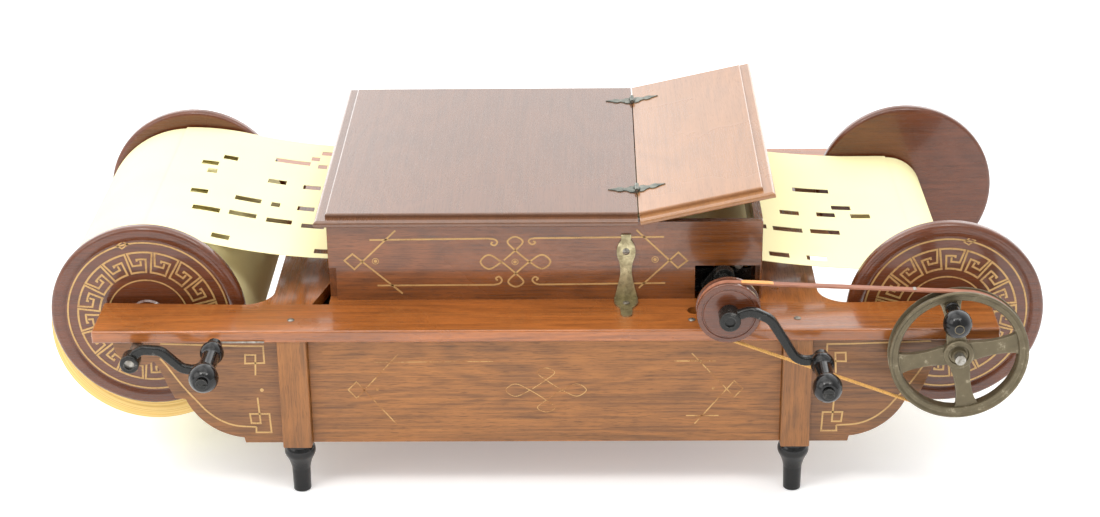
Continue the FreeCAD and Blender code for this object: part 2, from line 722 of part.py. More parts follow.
CRANK_ROUTE = ((0, 0), (24, 9), (46, -2), (62, -28), (79, -57), (104.4, -50.5))
REWIND_ROUTE = ((0, 0), (10, 16), (36, 14), (58, -8), (78, -12), (97.0, 19.0))
CRANK_BOSS_BACK = -308.6
REWIND_BOSS_BACK = -304.0
HANDLE_LENGTH = 86.0
CRANK_HANDLE_LENGTH = 82.0
BULB_RADIUS = 13.6


def make_cranks():
    x, z = size("crank_x"), size("crank_z")
    hand_x, hand_z, thick = make_crank_arm(
        "crank_arm", CRANK_ROUTE, 20.0, 12.0, 22.0, CRANK_HANDLE_LENGTH, (x, CRANK_BOSS_BACK, z))
    bore = size("spindle_radius") + size("running_fit")
    make_handle("crank_handle", x + hand_x, CRANK_BOSS_BACK - 5.0 - thick - 0.4, z + hand_z,
                handle_profile(bore, CRANK_HANDLE_LENGTH, size("knob_radius"), BULB_RADIUS))
    x, z = -size("spool_x"), size("spool_z")
    hand_x, hand_z, thick = make_crank_arm(
        "rewind_crank_arm", REWIND_ROUTE, 16.0, 11.0, 18.0, HANDLE_LENGTH, (x, REWIND_BOSS_BACK, z))
    make_handle("rewind_handle", x + hand_x, REWIND_BOSS_BACK - 5.0 - thick - 0.4, z + hand_z,
                handle_profile(bore, HANDLE_LENGTH, size("knob_radius"), BULB_RADIUS))


FRONT_CHEEKS = (-238.0, -234.0, -224.4, -220.4)
REAR_CHEEK = (-186.6, -183.2)
REAR_PIN_END = -178.6
SHAFT_FRONT = -328.0


def cheek(y0, y1, angle):
    """A crank cheek from the shaft's axis to the pin's, lying between two planes across the shaft."""
    reach = size("throw_radius")
    radius = size("cheek_radius")
    thick = y1 - y0
    ends = [Part.makeCylinder(radius, thick, Vector(x, 0, 0)) for x in (0, reach)]
    web = Part.makeBox(reach, 2 * radius, thick, Vector(0, -radius, 0))
    shape = web.fuse(ends)
    shape.rotate(Vector(), Vector(0, 0, 1), angle)
    shape.translate(Vector(0, 0, -y1))
    return shape


def along_shaft(radius, y0, y1, x=0.0, y=0.0):
    return Part.makeCylinder(radius, y1 - y0, Vector(x, y, -y1))


def throw_pin(angle):
    """Where a throw's pin stands, measured from the shaft's axis."""
    reach = size("throw_radius")
    return reach * math.cos(math.radians(angle)), reach * math.sin(math.radians(angle))


def make_crankshaft():
    """A shaft with a front throw between two cheeks and an overhung rear throw."""
    radius = size("axle_radius")
    pin = size("crank_pin_radius")
    front_angle = size("front_throw")
    rear_angle = size("rear_throw")
    front_x, front_y = throw_pin(front_angle)
    rear_x, rear_y = throw_pin(rear_angle)
    c0, c1, c2, c3 = FRONT_CHEEKS
    r0, r1 = REAR_CHEEK
    solids = [
        along_shaft(radius, SHAFT_FRONT, c1), along_shaft(radius, c2, r1),
        cheek(c0, c1, front_angle), cheek(c2, c3, front_angle), along_shaft(pin, c0, c3, front_x, front_y),
        cheek(r0, r1, rear_angle), along_shaft(pin, r0, REAR_PIN_END, rear_x, rear_y),
    ]
    piece = doc.addObject("Part::Feature", "crankshaft")
    piece.Shape = solids[0].fuse(solids[1:]).removeSplitter()
    place(piece, size("crank_x"), 0, size("crank_z"), FACING)
    keep(piece, "crankshaft")


def make_pitman(label, y0, y1, throw_angle):
    """A flat rod hung from a crank pin, down through its slot in the shelf."""
    pin_x, pin_z = throw_pin(throw_angle)
    x = size("crank_x") + pin_x
    z = size("crank_z") + pin_z
    long = 135.0
    body = new_body(label)
    thick = f"{y1 - y0}"
    block(body, "13", f"{long}", thick, -6.5, -long, 0)
    cylinder(body, "8.5", thick)
    cylinder(body, "7.5", thick, y=-long)
    cylinder(body, "Sizes.crank_pin_radius + Sizes.running_fit", f"{y1 - y0 + 2}", z=-1, cut=True)
    cylinder(body, "3", f"{y1 - y0 + 2}", y=-long, z=-1, cut=True)
    place(body, x, y1, z, FACING)


def make_crank_bearings():
    """Two iron pedestals on the shelf that carry the crankshaft."""
    master = pattern_body("crank_bearing_pattern")
    rise = size("crank_z") - SHELF_TOP
    thick = 11.0
    pad(master, chain([
        (-30, -rise), (30, -rise), (30, -rise + 5), (17, -rise + 6), ((12.5, -rise + 12), (12.5, 0)),
        ((0, 12.5), (-12.5, 0)), ((-12.5, -rise + 12), (-17, -rise + 6)), (-30, -rise + 5),
    ]), f"{thick}")
    pocket(master, [ring(size("axle_radius") + size("running_fit"))])
    x, z = size("crank_x"), size("crank_z")
    group("crank_bearings", master, [(Vector(x, -246.0, z), FACING), (Vector(x, -204.0, z), FACING)])


def make_crank_guard():
    """The black iron plate behind the box's front cut-out, with a small arch over the shaft's end."""
    body = new_body("crank_guard")
    pad(body, chain([
        (-33.0, 0), (34.4, 0), (34.4, 25.0), (9.0, 25.0), ((1.5, 32.5), (-6.0, 25.0)), (-33.0, 25.0),
    ]), "4")
    block(body, "16", "6", "8", -33.0, 0, 4)
    block(body, "7", "6", "8", 27.0, 0, 4)
    place(body, size("crank_x"), -164.0, SHELF_TOP, FACING)


def make_pulley():
    """The turned wooden belt pulley, with a raised ring and hub on its face."""
    body = new_body("drive_pulley")
    rim = size("pulley_radius")
    groove = size("pulley_groove")
    bore = size("axle_radius")
    turn(body, [
        (bore, 0), (rim - 1, 0), (rim, 1), (rim, 4.6), (groove, 6), (groove, 15.2), (rim, 16.6), (rim, 20.4),
        ((rim - 0.6, 21.6), (rim - 2, 22)), (rim - 5.5, 22), (rim - 6.2, 21), (rim - 7.4, 21),
        (rim - 8.2, 22), (15, 21.4), (bore, 21.4),
    ])
    place(body, size("crank_x"), -286.2, size("crank_z"), FACING)


SPOKE_ANGLE = 11.0
KNOB_ORBIT = 61.5


def make_drive_wheel():
    """A cast wheel with four broad spokes, a stepped rim with a belt groove, and a knob spindle."""
    body = new_body("drive_wheel")
    rim = size("wheel_radius")
    groove = size("wheel_groove")
    bore = size("axle_radius")
    inner = rim - 11.5
    depth = 18.0
    turn(body, [
        (bore, -5), (13, -5), (16, 2), (17.5, 4), (17.5, 15.3), (16.5, 16.3), (12, 16.3), (10.8, 14.6),
        (9.2, 14.6), (8.2, 20.5), (bore, 20.5),
    ])
    spoke = body.newObject("PartDesign::Pad", "Spoke")
    spoke.Profile = draw(body, "XY_Plane", chain([
        (9, -11), (20, -11), ((40, -8.8), (inner - 7, -10.8)), ((inner - 1.5, -13), (inner + 3, -19)),
        (inner + 3, 19), ((inner - 1.5, 13), (inner - 7, 10.8)), ((40, 8.8), (20, 11)), (9, 11),
    ]))
    bind(spoke, Length="6.5")
    spoke_shift = spoke.Profile[0]
    spoke_shift.AttachmentOffset = Placement(Vector(0, 0, 6.0), Rotation(Vector(0, 0, 1), SPOKE_ANGLE))
    doc.recompute()
    spokes = body.newObject("PartDesign::PolarPattern", "Spokes")
    spokes.Originals = [spoke]
    spokes.Axis = (plane(body, "Z_Axis"), [""])
    spokes.Angle = 360
    spokes.Occurrences = 4
    body.Tip = spokes
    doc.recompute()
    turn(body, [
        (inner, 3.0), (inner + 3, 1.5), (rim - 1, 1.5), (rim, 2.5), (rim, 3.1), (groove, 4.2), (groove, 13.4),
        (rim, 14.9), (rim, 17.0), ((rim - 1.2, depth + 0.8), (rim - 3.5, depth)), (rim - 5.2, depth - 1.4),
        (inner + 2, depth - 1.4), ((inner + 0.4, depth - 3), (inner, depth - 6)),
    ])
    angle = math.radians(SPOKE_ANGLE + 90)
    kx, ky = KNOB_ORBIT * math.cos(angle), KNOB_ORBIT * math.sin(angle)
    cylinder(body, "8", "7.2", kx, ky, 11.0)
    cylinder(body, cell("spindle_radius"), "60.5", kx, ky, 12.0)
    cylinder(body, "5.5", "2", kx, ky, 71.6)
    x, z = size("spool_x"), size("spool_z")
    back = -288.4
    place(body, x, back, z, FACING)
    bore = size("spindle_radius") + size("running_fit")
    make_handle("wheel_knob", x + kx, back - 18.6, z + ky, knob_profile(bore, 8.0, 6.8, 15.0, 40.3))


def make_belt():
    """A leather strap over both wheels, with a twisted cord as its lower run."""
    pulley = Vector(size("crank_x"), size("crank_z"), 0)
    wheel = Vector(size("spool_x"), size("spool_z"), 0)
    small = size("belt_line_pulley")
    large = size("belt_line_wheel")
    span = wheel - pulley
    slope = math.atan2(span.y, span.x)
    lean = math.acos(-(large - small) / span.Length)
    top = slope + lean
    bottom = slope - lean

    def at(centre, radius, angle):
        return (centre.x + radius * math.cos(angle), centre.y + radius * math.sin(angle))

    half = size("strap_thickness") / 2
    back_of_pulley = slope + math.pi
    outline = [
        at(pulley, small + half, bottom),
        (at(pulley, small + half, back_of_pulley), at(pulley, small + half, top)),
        at(wheel, large + half, top),
        (at(wheel, large + half, slope), at(wheel, large + half, bottom)),
        at(wheel, large - half, bottom),
        (at(wheel, large - half, slope), at(wheel, large - half, top)),
        at(pulley, small - half, top),
        (at(pulley, small - half, back_of_pulley), at(pulley, small - half, bottom)),
    ]
    strap = new_body("belt_strap")
    pad(strap, chain(outline), cell("strap_width"))
    place(strap, 0, -size("belt_plane") + size("strap_width") / 2, 0, FACING)

    start = Vector(*at(pulley, small, bottom), 0)
    end = Vector(*at(wheel, large, bottom), 0)
    run = end - start
    cord = doc.addObject("Part::Cylinder", "belt_cord")
    bind(cord, Radius=cell("cord_radius"), Height=f"{run.Length}")
    direction = Vector(run.x, 0, run.y)
    place(cord, start.x, -size("belt_plane"), start.y, Rotation(Vector(0, 0, 1), direction))
    keep(cord, "belt_cord")


def make_stay_wire():
    """A thin wire hook at the rail that stops the rewind crank."""
    wire = doc.addObject("Part::Cylinder", "crank_stay_wire")
    bind(wire, Radius="1.1", Height="50")
    place(wire, -372.0, -281.6, 206.0, Rotation(Vector(0, 1, 0), 90))
    keep(wire, "crank_stay_wire")


# ---------------------------------------------------------------- inside

REED_COUNT = 14
REED_PITCH = 24.0


def make_reed_action():
    """The reed pan, its reeds and the tracker bar that the paper slides over."""
    first = -(REED_COUNT - 1) * REED_PITCH / 2
    pan = new_body("reed_pan")
    block(pan, "150", "360", "21")
    place(pan, -75.0, -172.0, SHELF_TOP)
    bar = new_body("tracker_bar")
    block(bar, "28", "352", "19")
    cells = [chain([(4, y - 5), (24, y - 5), (24, y + 5), (4, y + 5)])
             for y in [168.0 + first + REED_PITCH * number for number in range(REED_COUNT)]]
    pocket(bar, [edge for outline in cells for edge in outline])
    place(bar, -14.0, -168.0, SHELF_TOP + 21.0)
    reed = pattern_body("reed_pattern")
    block(reed, "46", "9", "1.6")
    block(reed, "34", "4", "1.2", 8, 2.5, 1.6)
    group("brass_reeds", reed, [(Vector(20, first + REED_PITCH * number - 4.5, SHELF_TOP + 21.0), UPRIGHT)
                                for number in range(REED_COUNT)])


def make_guide_rods():
    master = pattern_body("guide_rod_pattern")
    cylinder(master, "5", "382.6")
    group("paper_guide_rods", master, [(Vector(-228.0, 205.0, 257.6), FACING), (Vector(228.0, 205.0, 253.0), FACING)])


def make_bellows():
    floor = size("panel_bottom") + size("floor_board_thickness")
    reservoir = new_body("reservoir_bellows")
    block(reservoir, "400", "370", "112")
    for number in range(3):
        z = 20 + 30 * number
        for x, y, lx, ly in ((-1, -1, 13, 400), (388, -1, 13, 400), (-1, -1, 410, 13), (-1, 358, 410, 13)):
            block(reservoir, f"{lx}", f"{ly}", "14", x, y, z, cut=True)
    place(reservoir, -240.0, -145.0, floor)
    wedges = []
    for y, opened in ((-210.0, 58.0), (-158.0, 18.0)):
        wedge = Part.Face(Part.Wire([edge.toShape() for edge in chain(
            [(-250, 0), (160, 0), (160, opened), (-250, 10)])])).extrude(Vector(0, 0, 40))
        wedge.Placement = Placement(Vector(0, y, floor), FACING)
        wedges.append(wedge)
    feeders = doc.addObject("Part::Feature", "feeder_bellows")
    feeders.Shape = Part.makeCompound(wedges)
    place(feeders, 0, 0, 0)
    keep(feeders, "feeder_bellows")


# ---------------------------------------------------------------- the whole organ

make_rail("front_rail", -1)
make_rail("rear_rail", 1)
make_cross_board("left_cross_board", -1)
make_cross_board("right_cross_board", 1)
make_bed_board()
make_felt_apron()
make_case()
make_corner_posts()
make_turned_feet()
bracket_front = size("panel_face") - size("bracket_thickness")
make_bracket("front_left_bracket", -1, -bracket_front)
make_bracket("front_right_bracket", 1, -bracket_front)
make_bracket("rear_left_bracket", -1, size("panel_face"))
make_bracket("rear_right_bracket", 1, size("panel_face"))
make_box_walls()
make_lids()
make_hinges()
make_clamp_plate()
make_screws()
make_spool("supply", -1, cell("supply_core_radius"))
make_spool("takeup", 1, cell("takeup_core_radius"))
make_paper_roll("supply_paper_roll", -size("spool_x") - 1.7, size("supply_roll_z"),
                cell("supply_roll_radius"), cell("supply_roll_bore"))
make_paper_roll("takeup_paper_roll", size("takeup_roll_x"), size("spool_z"),
                cell("takeup_roll_radius"), cell("takeup_roll_bore"))
make_paper_web()
make_cranks()
make_crankshaft()
make_pitman("front_pitman", -233.6, -224.8, size("front_throw"))
make_pitman("rear_pitman", -182.9, -179.0, size("rear_throw"))
make_crank_bearings()
make_crank_guard()
make_pulley()
make_drive_wheel()
make_belt()
make_stay_wire()
make_reed_action()
make_guide_rods()
make_bellows()
doc.recompute()

for item in doc.Objects:
    assert "Invalid" not in item.State and "Error" not in item.State, (item.Name, item.Label, item.State)
for piece in nodes:
    assert not piece.Shape.isNull() and piece.Shape.isValid(), piece.Label

os.makedirs("parts", exist_ok=True)
for piece in nodes:
    piece.Shape.exportStep(f"parts/{piece.Label}.step")
print(len(nodes), "sub-parts written")
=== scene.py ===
"""The looks of a hand-cranked paper-roll organ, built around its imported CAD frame."""

import json
import math
import random

import bmesh
import bpy
from mathutils import Matrix, Vector


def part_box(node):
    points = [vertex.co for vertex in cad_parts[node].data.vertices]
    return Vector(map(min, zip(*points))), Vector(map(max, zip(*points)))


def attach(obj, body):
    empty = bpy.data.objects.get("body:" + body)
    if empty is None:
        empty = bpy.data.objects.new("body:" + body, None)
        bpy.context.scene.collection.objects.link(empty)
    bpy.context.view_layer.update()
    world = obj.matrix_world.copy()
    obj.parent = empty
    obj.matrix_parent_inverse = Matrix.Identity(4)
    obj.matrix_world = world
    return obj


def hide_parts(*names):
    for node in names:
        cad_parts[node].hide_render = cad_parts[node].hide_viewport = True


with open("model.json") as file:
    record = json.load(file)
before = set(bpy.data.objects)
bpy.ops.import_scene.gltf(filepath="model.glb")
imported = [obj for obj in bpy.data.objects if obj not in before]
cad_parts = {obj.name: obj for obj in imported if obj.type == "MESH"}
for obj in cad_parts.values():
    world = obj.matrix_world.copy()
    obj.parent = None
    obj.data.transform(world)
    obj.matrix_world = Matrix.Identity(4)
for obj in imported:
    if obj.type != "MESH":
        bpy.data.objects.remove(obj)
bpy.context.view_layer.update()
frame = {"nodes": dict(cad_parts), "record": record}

MM = 0.001
SLOT_OF = {part["node"]: part["material_slot"] for part in frame["record"]["subparts"]}


# ---------------------------------------------------------------- places, read from the frame

def middle(node):
    low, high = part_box(node)
    return (low + high) / 2


# the middle of the base on the floor, between the outer edges of the two long rails
MACHINE = Vector((middle("front_rail").x, (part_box("front_rail")[0].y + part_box("rear_rail")[1].y) / 2, 0))


def at(x, y, z):
    """A point given in millimetres from the middle of the base, at floor level."""
    return MACHINE + Vector((x, y, z)) * MM


# ---------------------------------------------------------------- materials

class Look:
    """A node material while it is being put together."""

    def __init__(self, name):
        self.material = bpy.data.materials.new(name)
        self.material.use_nodes = True
        self.nodes = self.material.node_tree.nodes
        self.links = self.material.node_tree.links
        self.shader = next(node for node in self.nodes if node.type == "BSDF_PRINCIPLED")
        self.place = self.add("ShaderNodeTexCoord", "Object")

    def add(self, kind, output=0, inputs=None, **settings):
        node = self.nodes.new(kind)
        for name, value in settings.items():
            setattr(node, name, value)
        for name, value in (inputs or {}).items():
            self.feed(node.inputs[name], value)
        return node.outputs[output]

    def feed(self, socket, value):
        if isinstance(value, bpy.types.NodeSocket):
            self.links.new(value, socket)
        elif isinstance(value, tuple) and len(value) == 3 and socket.type == "RGBA":
            socket.default_value = (*value, 1.0)
        else:
            socket.default_value = value

    def set(self, **values):
        for name, value in values.items():
            self.feed(self.shader.inputs[name.replace("_", " ")], value)

    def noise(self, scale, detail=3.0, roughness=0.5, distortion=0.0, shift=(0, 0, 0)):
        placing = {"Vector": self.place, "Scale": scale, "Location": shift}
        vector = self.add("ShaderNodeMapping", inputs=placing)
        inputs = {"Vector": vector, "Scale": 1.0, "Detail": detail, "Roughness": roughness,
                  "Distortion": distortion}
        return self.add("ShaderNodeTexNoise", "Fac", inputs=inputs)

    def spread(self, value, low, high, to_low=0.0, to_high=1.0):
        inputs = {"Value": value, "From Min": low, "From Max": high, "To Min": to_low, "To Max": to_high}
        return self.add("ShaderNodeMapRange", inputs=inputs)

    def maths(self, operation, first, second=0.0):
        return self.add("ShaderNodeMath", operation=operation, inputs={0: first, 1: second})

    def mix(self, factor, first, second, blend="MIX"):
        node = self.nodes.new("ShaderNodeMix")
        node.data_type = "RGBA"
        node.blend_type = blend
        self.feed(node.inputs[0], factor)
        self.feed(node.inputs[6], first)
        self.feed(node.inputs[7], second)
        return node.outputs[2]

    def ramp(self, factor, *stops):
        node = self.nodes.new("ShaderNodeValToRGB")
        self.feed(node.inputs["Fac"], factor)
        elements = node.color_ramp.elements
        while len(elements) < len(stops):
            elements.new(0.5)
        for element, (position, colour) in zip(elements, stops):
            element.position = position
            element.color = (*colour, 1.0)
        return node.outputs["Color"]

    def bump(self, height, strength, distance):
        inputs = {"Height": height, "Strength": strength, "Distance": distance}
        self.set(Normal=self.add("ShaderNodeBump", inputs=inputs))

    def edges(self, radius, low=0.02, high=0.16):
        """1 along the piece's edges and 0 on its flats."""
        rounded = self.add("ShaderNodeBevel", inputs={"Radius": radius}, samples=4)
        true = self.add("ShaderNodeNewGeometry", "Normal")
        dot = self.add("ShaderNodeVectorMath", "Value", operation="DOT_PRODUCT", inputs={0: rounded, 1: true})
        return self.spread(self.maths("SUBTRACT", 1.0, dot), low, high)


def tint(colour, factor):
    return tuple(channel * factor for channel in colour)


def wood(name, colour, grain, contrast, roughness, coat, coat_roughness, figure=1.0, worn=0.35, seed=0.0):
    """Varnished walnut: long figure, fine dark pores, uneven varnish and paler worn edges."""
    look = Look(name)
    axis = "XYZ".index(grain)

    def stretched(along, across):
        scale = [across] * 3
        scale[axis] = along
        return tuple(scale)

    shift = (seed, seed * 1.7, seed * 0.6)
    figure_noise = look.noise(stretched(1.6, 13.0 * figure), 2.0, 0.45, 0.6, shift)
    rings = look.maths("SINE", look.maths("MULTIPLY", figure_noise, 75.0))
    streaks = look.noise(stretched(7.0, 330.0), 5.0, 0.62, 0.2, shift)
    pores = look.noise(stretched(60.0, 1700.0), 2.0, 0.6, 0.0, shift)
    clouds = look.noise((5.0, 5.0, 5.0), 4.0, 0.55, 0.3, shift)
    fine = look.noise((160.0, 160.0, 160.0), 3.0, 0.6, 0.0, shift)

    tone = look.spread(streaks, 0.33, 0.67, 0.0, 0.5)
    tone = look.maths("ADD", tone, look.spread(rings, -1.0, 1.0, 0.0, 0.22))
    tone = look.maths("ADD", tone, look.spread(clouds, 0.3, 0.7, 0.0, 0.28))
    dark = tint(colour, 1 - 0.42 * contrast)
    light = tuple(min(1.0, c * (1 + 0.34 * contrast)) for c in colour)
    base = look.ramp(tone, (0.12, dark), (0.5, colour), (0.9, light))
    pits = look.spread(pores, 0.36, 0.46, 1.0, 0.0)
    base = look.mix(look.maths("MULTIPLY", pits, 0.55 * contrast), base, tint(dark, 0.45))
    wear = look.maths("MULTIPLY", look.edges(0.0016), look.spread(fine, 0.42, 0.6))
    base = look.mix(look.maths("MULTIPLY", wear, worn), base, tuple(min(1.0, c * 1.7 + 0.06) for c in colour))
    look.set(Base_Color=base, Coat_Weight=coat, Coat_Roughness=coat_roughness)
    sheen = look.maths("ADD", look.spread(clouds, 0.3, 0.7, roughness - 0.06, roughness + 0.08),
                       look.maths("MULTIPLY", pits, 0.12))
    look.set(Roughness=sheen)
    relief = look.maths("ADD", look.maths("MULTIPLY", streaks, 0.6), look.maths("MULTIPLY", pits, -0.5))
    look.bump(relief, 0.35, 0.00025)
    return look


def painted_iron(name, paint, metal, roughness, wear, metallic):
    """Iron under old paint, rubbed bright along the edges and pitted on the flats."""
    look = Look(name)
    coarse = look.noise((90, 90, 90), 4.0, 0.6)
    fine = look.noise((700, 700, 700), 3.0, 0.6)
    rub = look.maths("MULTIPLY", look.edges(0.0018, 0.01, 0.12), look.spread(coarse, 0.34, 0.62))
    chips = look.spread(look.maths("ADD", coarse, look.maths("MULTIPLY", fine, 0.35)), 0.80, 0.88)
    bare = look.maths("MULTIPLY", look.maths("MAXIMUM", rub, chips), wear)
    base = look.mix(look.spread(coarse, 0.3, 0.7), paint, tint(paint, 1.35))
    look.set(Base_Color=look.mix(bare, base, metal), Metallic=look.spread(bare, 0.0, 1.0, metallic, 0.85))
    look.set(Roughness=look.spread(fine, 0.3, 0.7, roughness - 0.08, roughness + 0.12))
    look.set(Specular_IOR_Level=0.35)
    look.bump(look.maths("ADD", coarse, look.maths("MULTIPLY", fine, 0.5)), 0.3, 0.0004)
    return look


GRIME = (0.03, 0.03, 0.025)


def old_metal(name, bright, dull, roughness, metallic=0.9):
    """Brass or steel that has gone dull in patches, with specks of dirt."""
    look = Look(name)
    patches = look.noise((120, 120, 120), 5.0, 0.62, 0.4)
    specks = look.noise((900, 900, 900), 3.0, 0.6)
    base = look.mix(look.spread(patches, 0.38, 0.62), bright, dull)
    base = look.mix(look.maths("MULTIPLY", look.spread(specks, 0.6, 0.7), 0.7), base, GRIME)
    look.set(Base_Color=base, Metallic=metallic)
    look.set(Roughness=look.spread(patches, 0.3, 0.7, roughness - 0.1, roughness + 0.15))
    look.bump(look.maths("ADD", patches, look.maths("MULTIPLY", specks, 0.4)), 0.25, 0.0003)
    return look


def ebonised(name):
    """Turned wood under thick black varnish, scuffed grey here and there."""
    look = Look(name)
    scuffs = look.noise((260, 260, 260), 4.0, 0.65)
    rings = look.noise((60, 900, 60), 2.0, 0.5)
    base = look.mix(look.spread(scuffs, 0.64, 0.8, 0.0, 0.3), (0.004, 0.004, 0.004), (0.07, 0.066, 0.058))
    look.set(Base_Color=base, Coat_Weight=0.15, Coat_Roughness=0.05, Specular_IOR_Level=0.32)
    look.set(Roughness=look.spread(scuffs, 0.4, 0.75, 0.14, 0.34))
    look.bump(look.maths("ADD", rings, scuffs), 0.06, 0.0002)
    return look


def paper(name, colour, centre=None):
    """Old cream paper; on a roll its ends show the edges of the wound layers, partly their own yellowed tone
    and partly painted light, a warm glow through and between the layers.
    """
    look = Look(name)
    fibres = look.noise((420, 420, 420), 4.0, 0.65)
    clouds = look.noise((9, 9, 9), 3.0, 0.5)
    base = look.mix(look.spread(clouds, 0.3, 0.7), colour, tint(colour, 0.93))
    if centre is not None:
        vector = look.add("ShaderNodeMapping", inputs={"Vector": look.place, "Location": tuple(-centre)})
        flat = look.add("ShaderNodeVectorMath", operation="MULTIPLY", inputs={0: vector, 1: (1, 0, 1)})
        radius = look.add("ShaderNodeVectorMath", "Value", operation="LENGTH", inputs={0: flat})
        layers = look.add("ShaderNodeTexNoise", inputs={"Vector": look.add(
            "ShaderNodeCombineXYZ", inputs={0: look.maths("MULTIPLY", radius, 900.0)}),
            "Scale": 1.0, "Detail": 3.0, "Roughness": 0.7})
        facing = look.nodes.new("ShaderNodeSeparateXYZ")
        look.feed(facing.inputs[0], look.add("ShaderNodeNewGeometry", "Normal"))
        end = look.spread(look.maths("ABSOLUTE", facing.outputs[1]), 0.35, 0.7)
        # painted light: the orange-to-yellow rings on the roll ends are partly the yellowed layer edges and
        # partly a painted warm glow of light passing through and bouncing between the paper layers
        layer_edges_and_glow = look.ramp(
            layers, (0.3, (0.60, 0.34, 0.08)), (0.5, (0.93, 0.64, 0.22)), (0.68, (0.98, 0.82, 0.44)))
        base = look.mix(end, base, layer_edges_and_glow)
    look.set(Base_Color=base, Roughness=0.75)
    look.bump(look.maths("ADD", fibres, look.maths("MULTIPLY", clouds, 2.0)), 0.12, 0.0004)
    return look


def leather(name, colour, worn):
    """Belt leather, streaked along its run and finely cracked."""
    look = Look(name)
    streaks = look.noise((60, 500, 500), 4.0, 0.6)
    cracks = look.add("ShaderNodeTexVoronoi", "Distance", inputs={"Vector": look.place, "Scale": 700.0})
    base = look.mix(look.spread(streaks, 0.35, 0.65), colour, worn)
    look.set(Base_Color=base, Roughness=look.spread(streaks, 0.3, 0.7, 0.42, 0.62))
    look.bump(look.maths("ADD", streaks, cracks), 0.35, 0.0004)
    return look


def thread(name, colour):
    """Twisted hemp, darker between its fibres."""
    look = Look(name)
    fibres = look.noise((900, 900, 900), 3.0, 0.6)
    look.set(Base_Color=look.mix(look.spread(fibres, 0.35, 0.65), colour, tint(colour, 0.55)), Roughness=0.7)
    look.bump(fibres, 0.4, 0.0003)
    return look


def cloth(name, colour):
    """Felt or bellows cloth: a fine weave, faded in clouds."""
    look = Look(name)
    threads = look.noise((900, 900, 900), 2.0, 0.6)
    clouds = look.noise((30, 30, 30), 3.0, 0.5)
    base = look.mix(look.spread(clouds, 0.3, 0.7), colour, tint(colour, 1.8))
    look.set(Base_Color=base, Roughness=0.9, Sheen_Weight=0.3)
    look.bump(threads, 0.5, 0.0004)
    return look


def gold_line(name, gilt, beneath, wear):
    """The worn gilt of the stencilled lines, with the varnish showing through in specks."""
    look = Look(name)
    specks = look.noise((800, 800, 800), 4.0, 0.65)
    broad = look.noise((50, 50, 50), 3.0, 0.5)
    lost = look.maths("ADD", look.spread(specks, 0.45, 0.7), look.spread(broad, 0.35, 0.65, -0.3, wear))
    base = look.mix(look.spread(lost, 0.2, 1.0), gilt, beneath)
    look.set(Base_Color=base, Metallic=0.25, Roughness=0.42)
    look.bump(specks, 0.2, 0.0001)
    return look


SHELF = (0.330, 0.100, 0.018)
CASE = (0.265, 0.100, 0.020)
BOX = (0.185, 0.058, 0.013)
LID = (0.135, 0.055, 0.024)
FLAP = (0.290, 0.130, 0.048)
DISC = (0.120, 0.032, 0.010)
CORE = (0.45, 0.27, 0.12)
PAPER = (0.90, 0.83, 0.46)

SHELF_VARNISH = {"contrast": 1.0, "roughness": 0.28, "coat": 0.7, "coat_roughness": 0.13}
CASE_VARNISH = {"roughness": 0.42, "coat": 0.15, "coat_roughness": 0.25}
BOX_VARNISH = {"contrast": 1.2, "roughness": 0.26, "coat": 0.6, "coat_roughness": 0.1, "figure": 0.6}


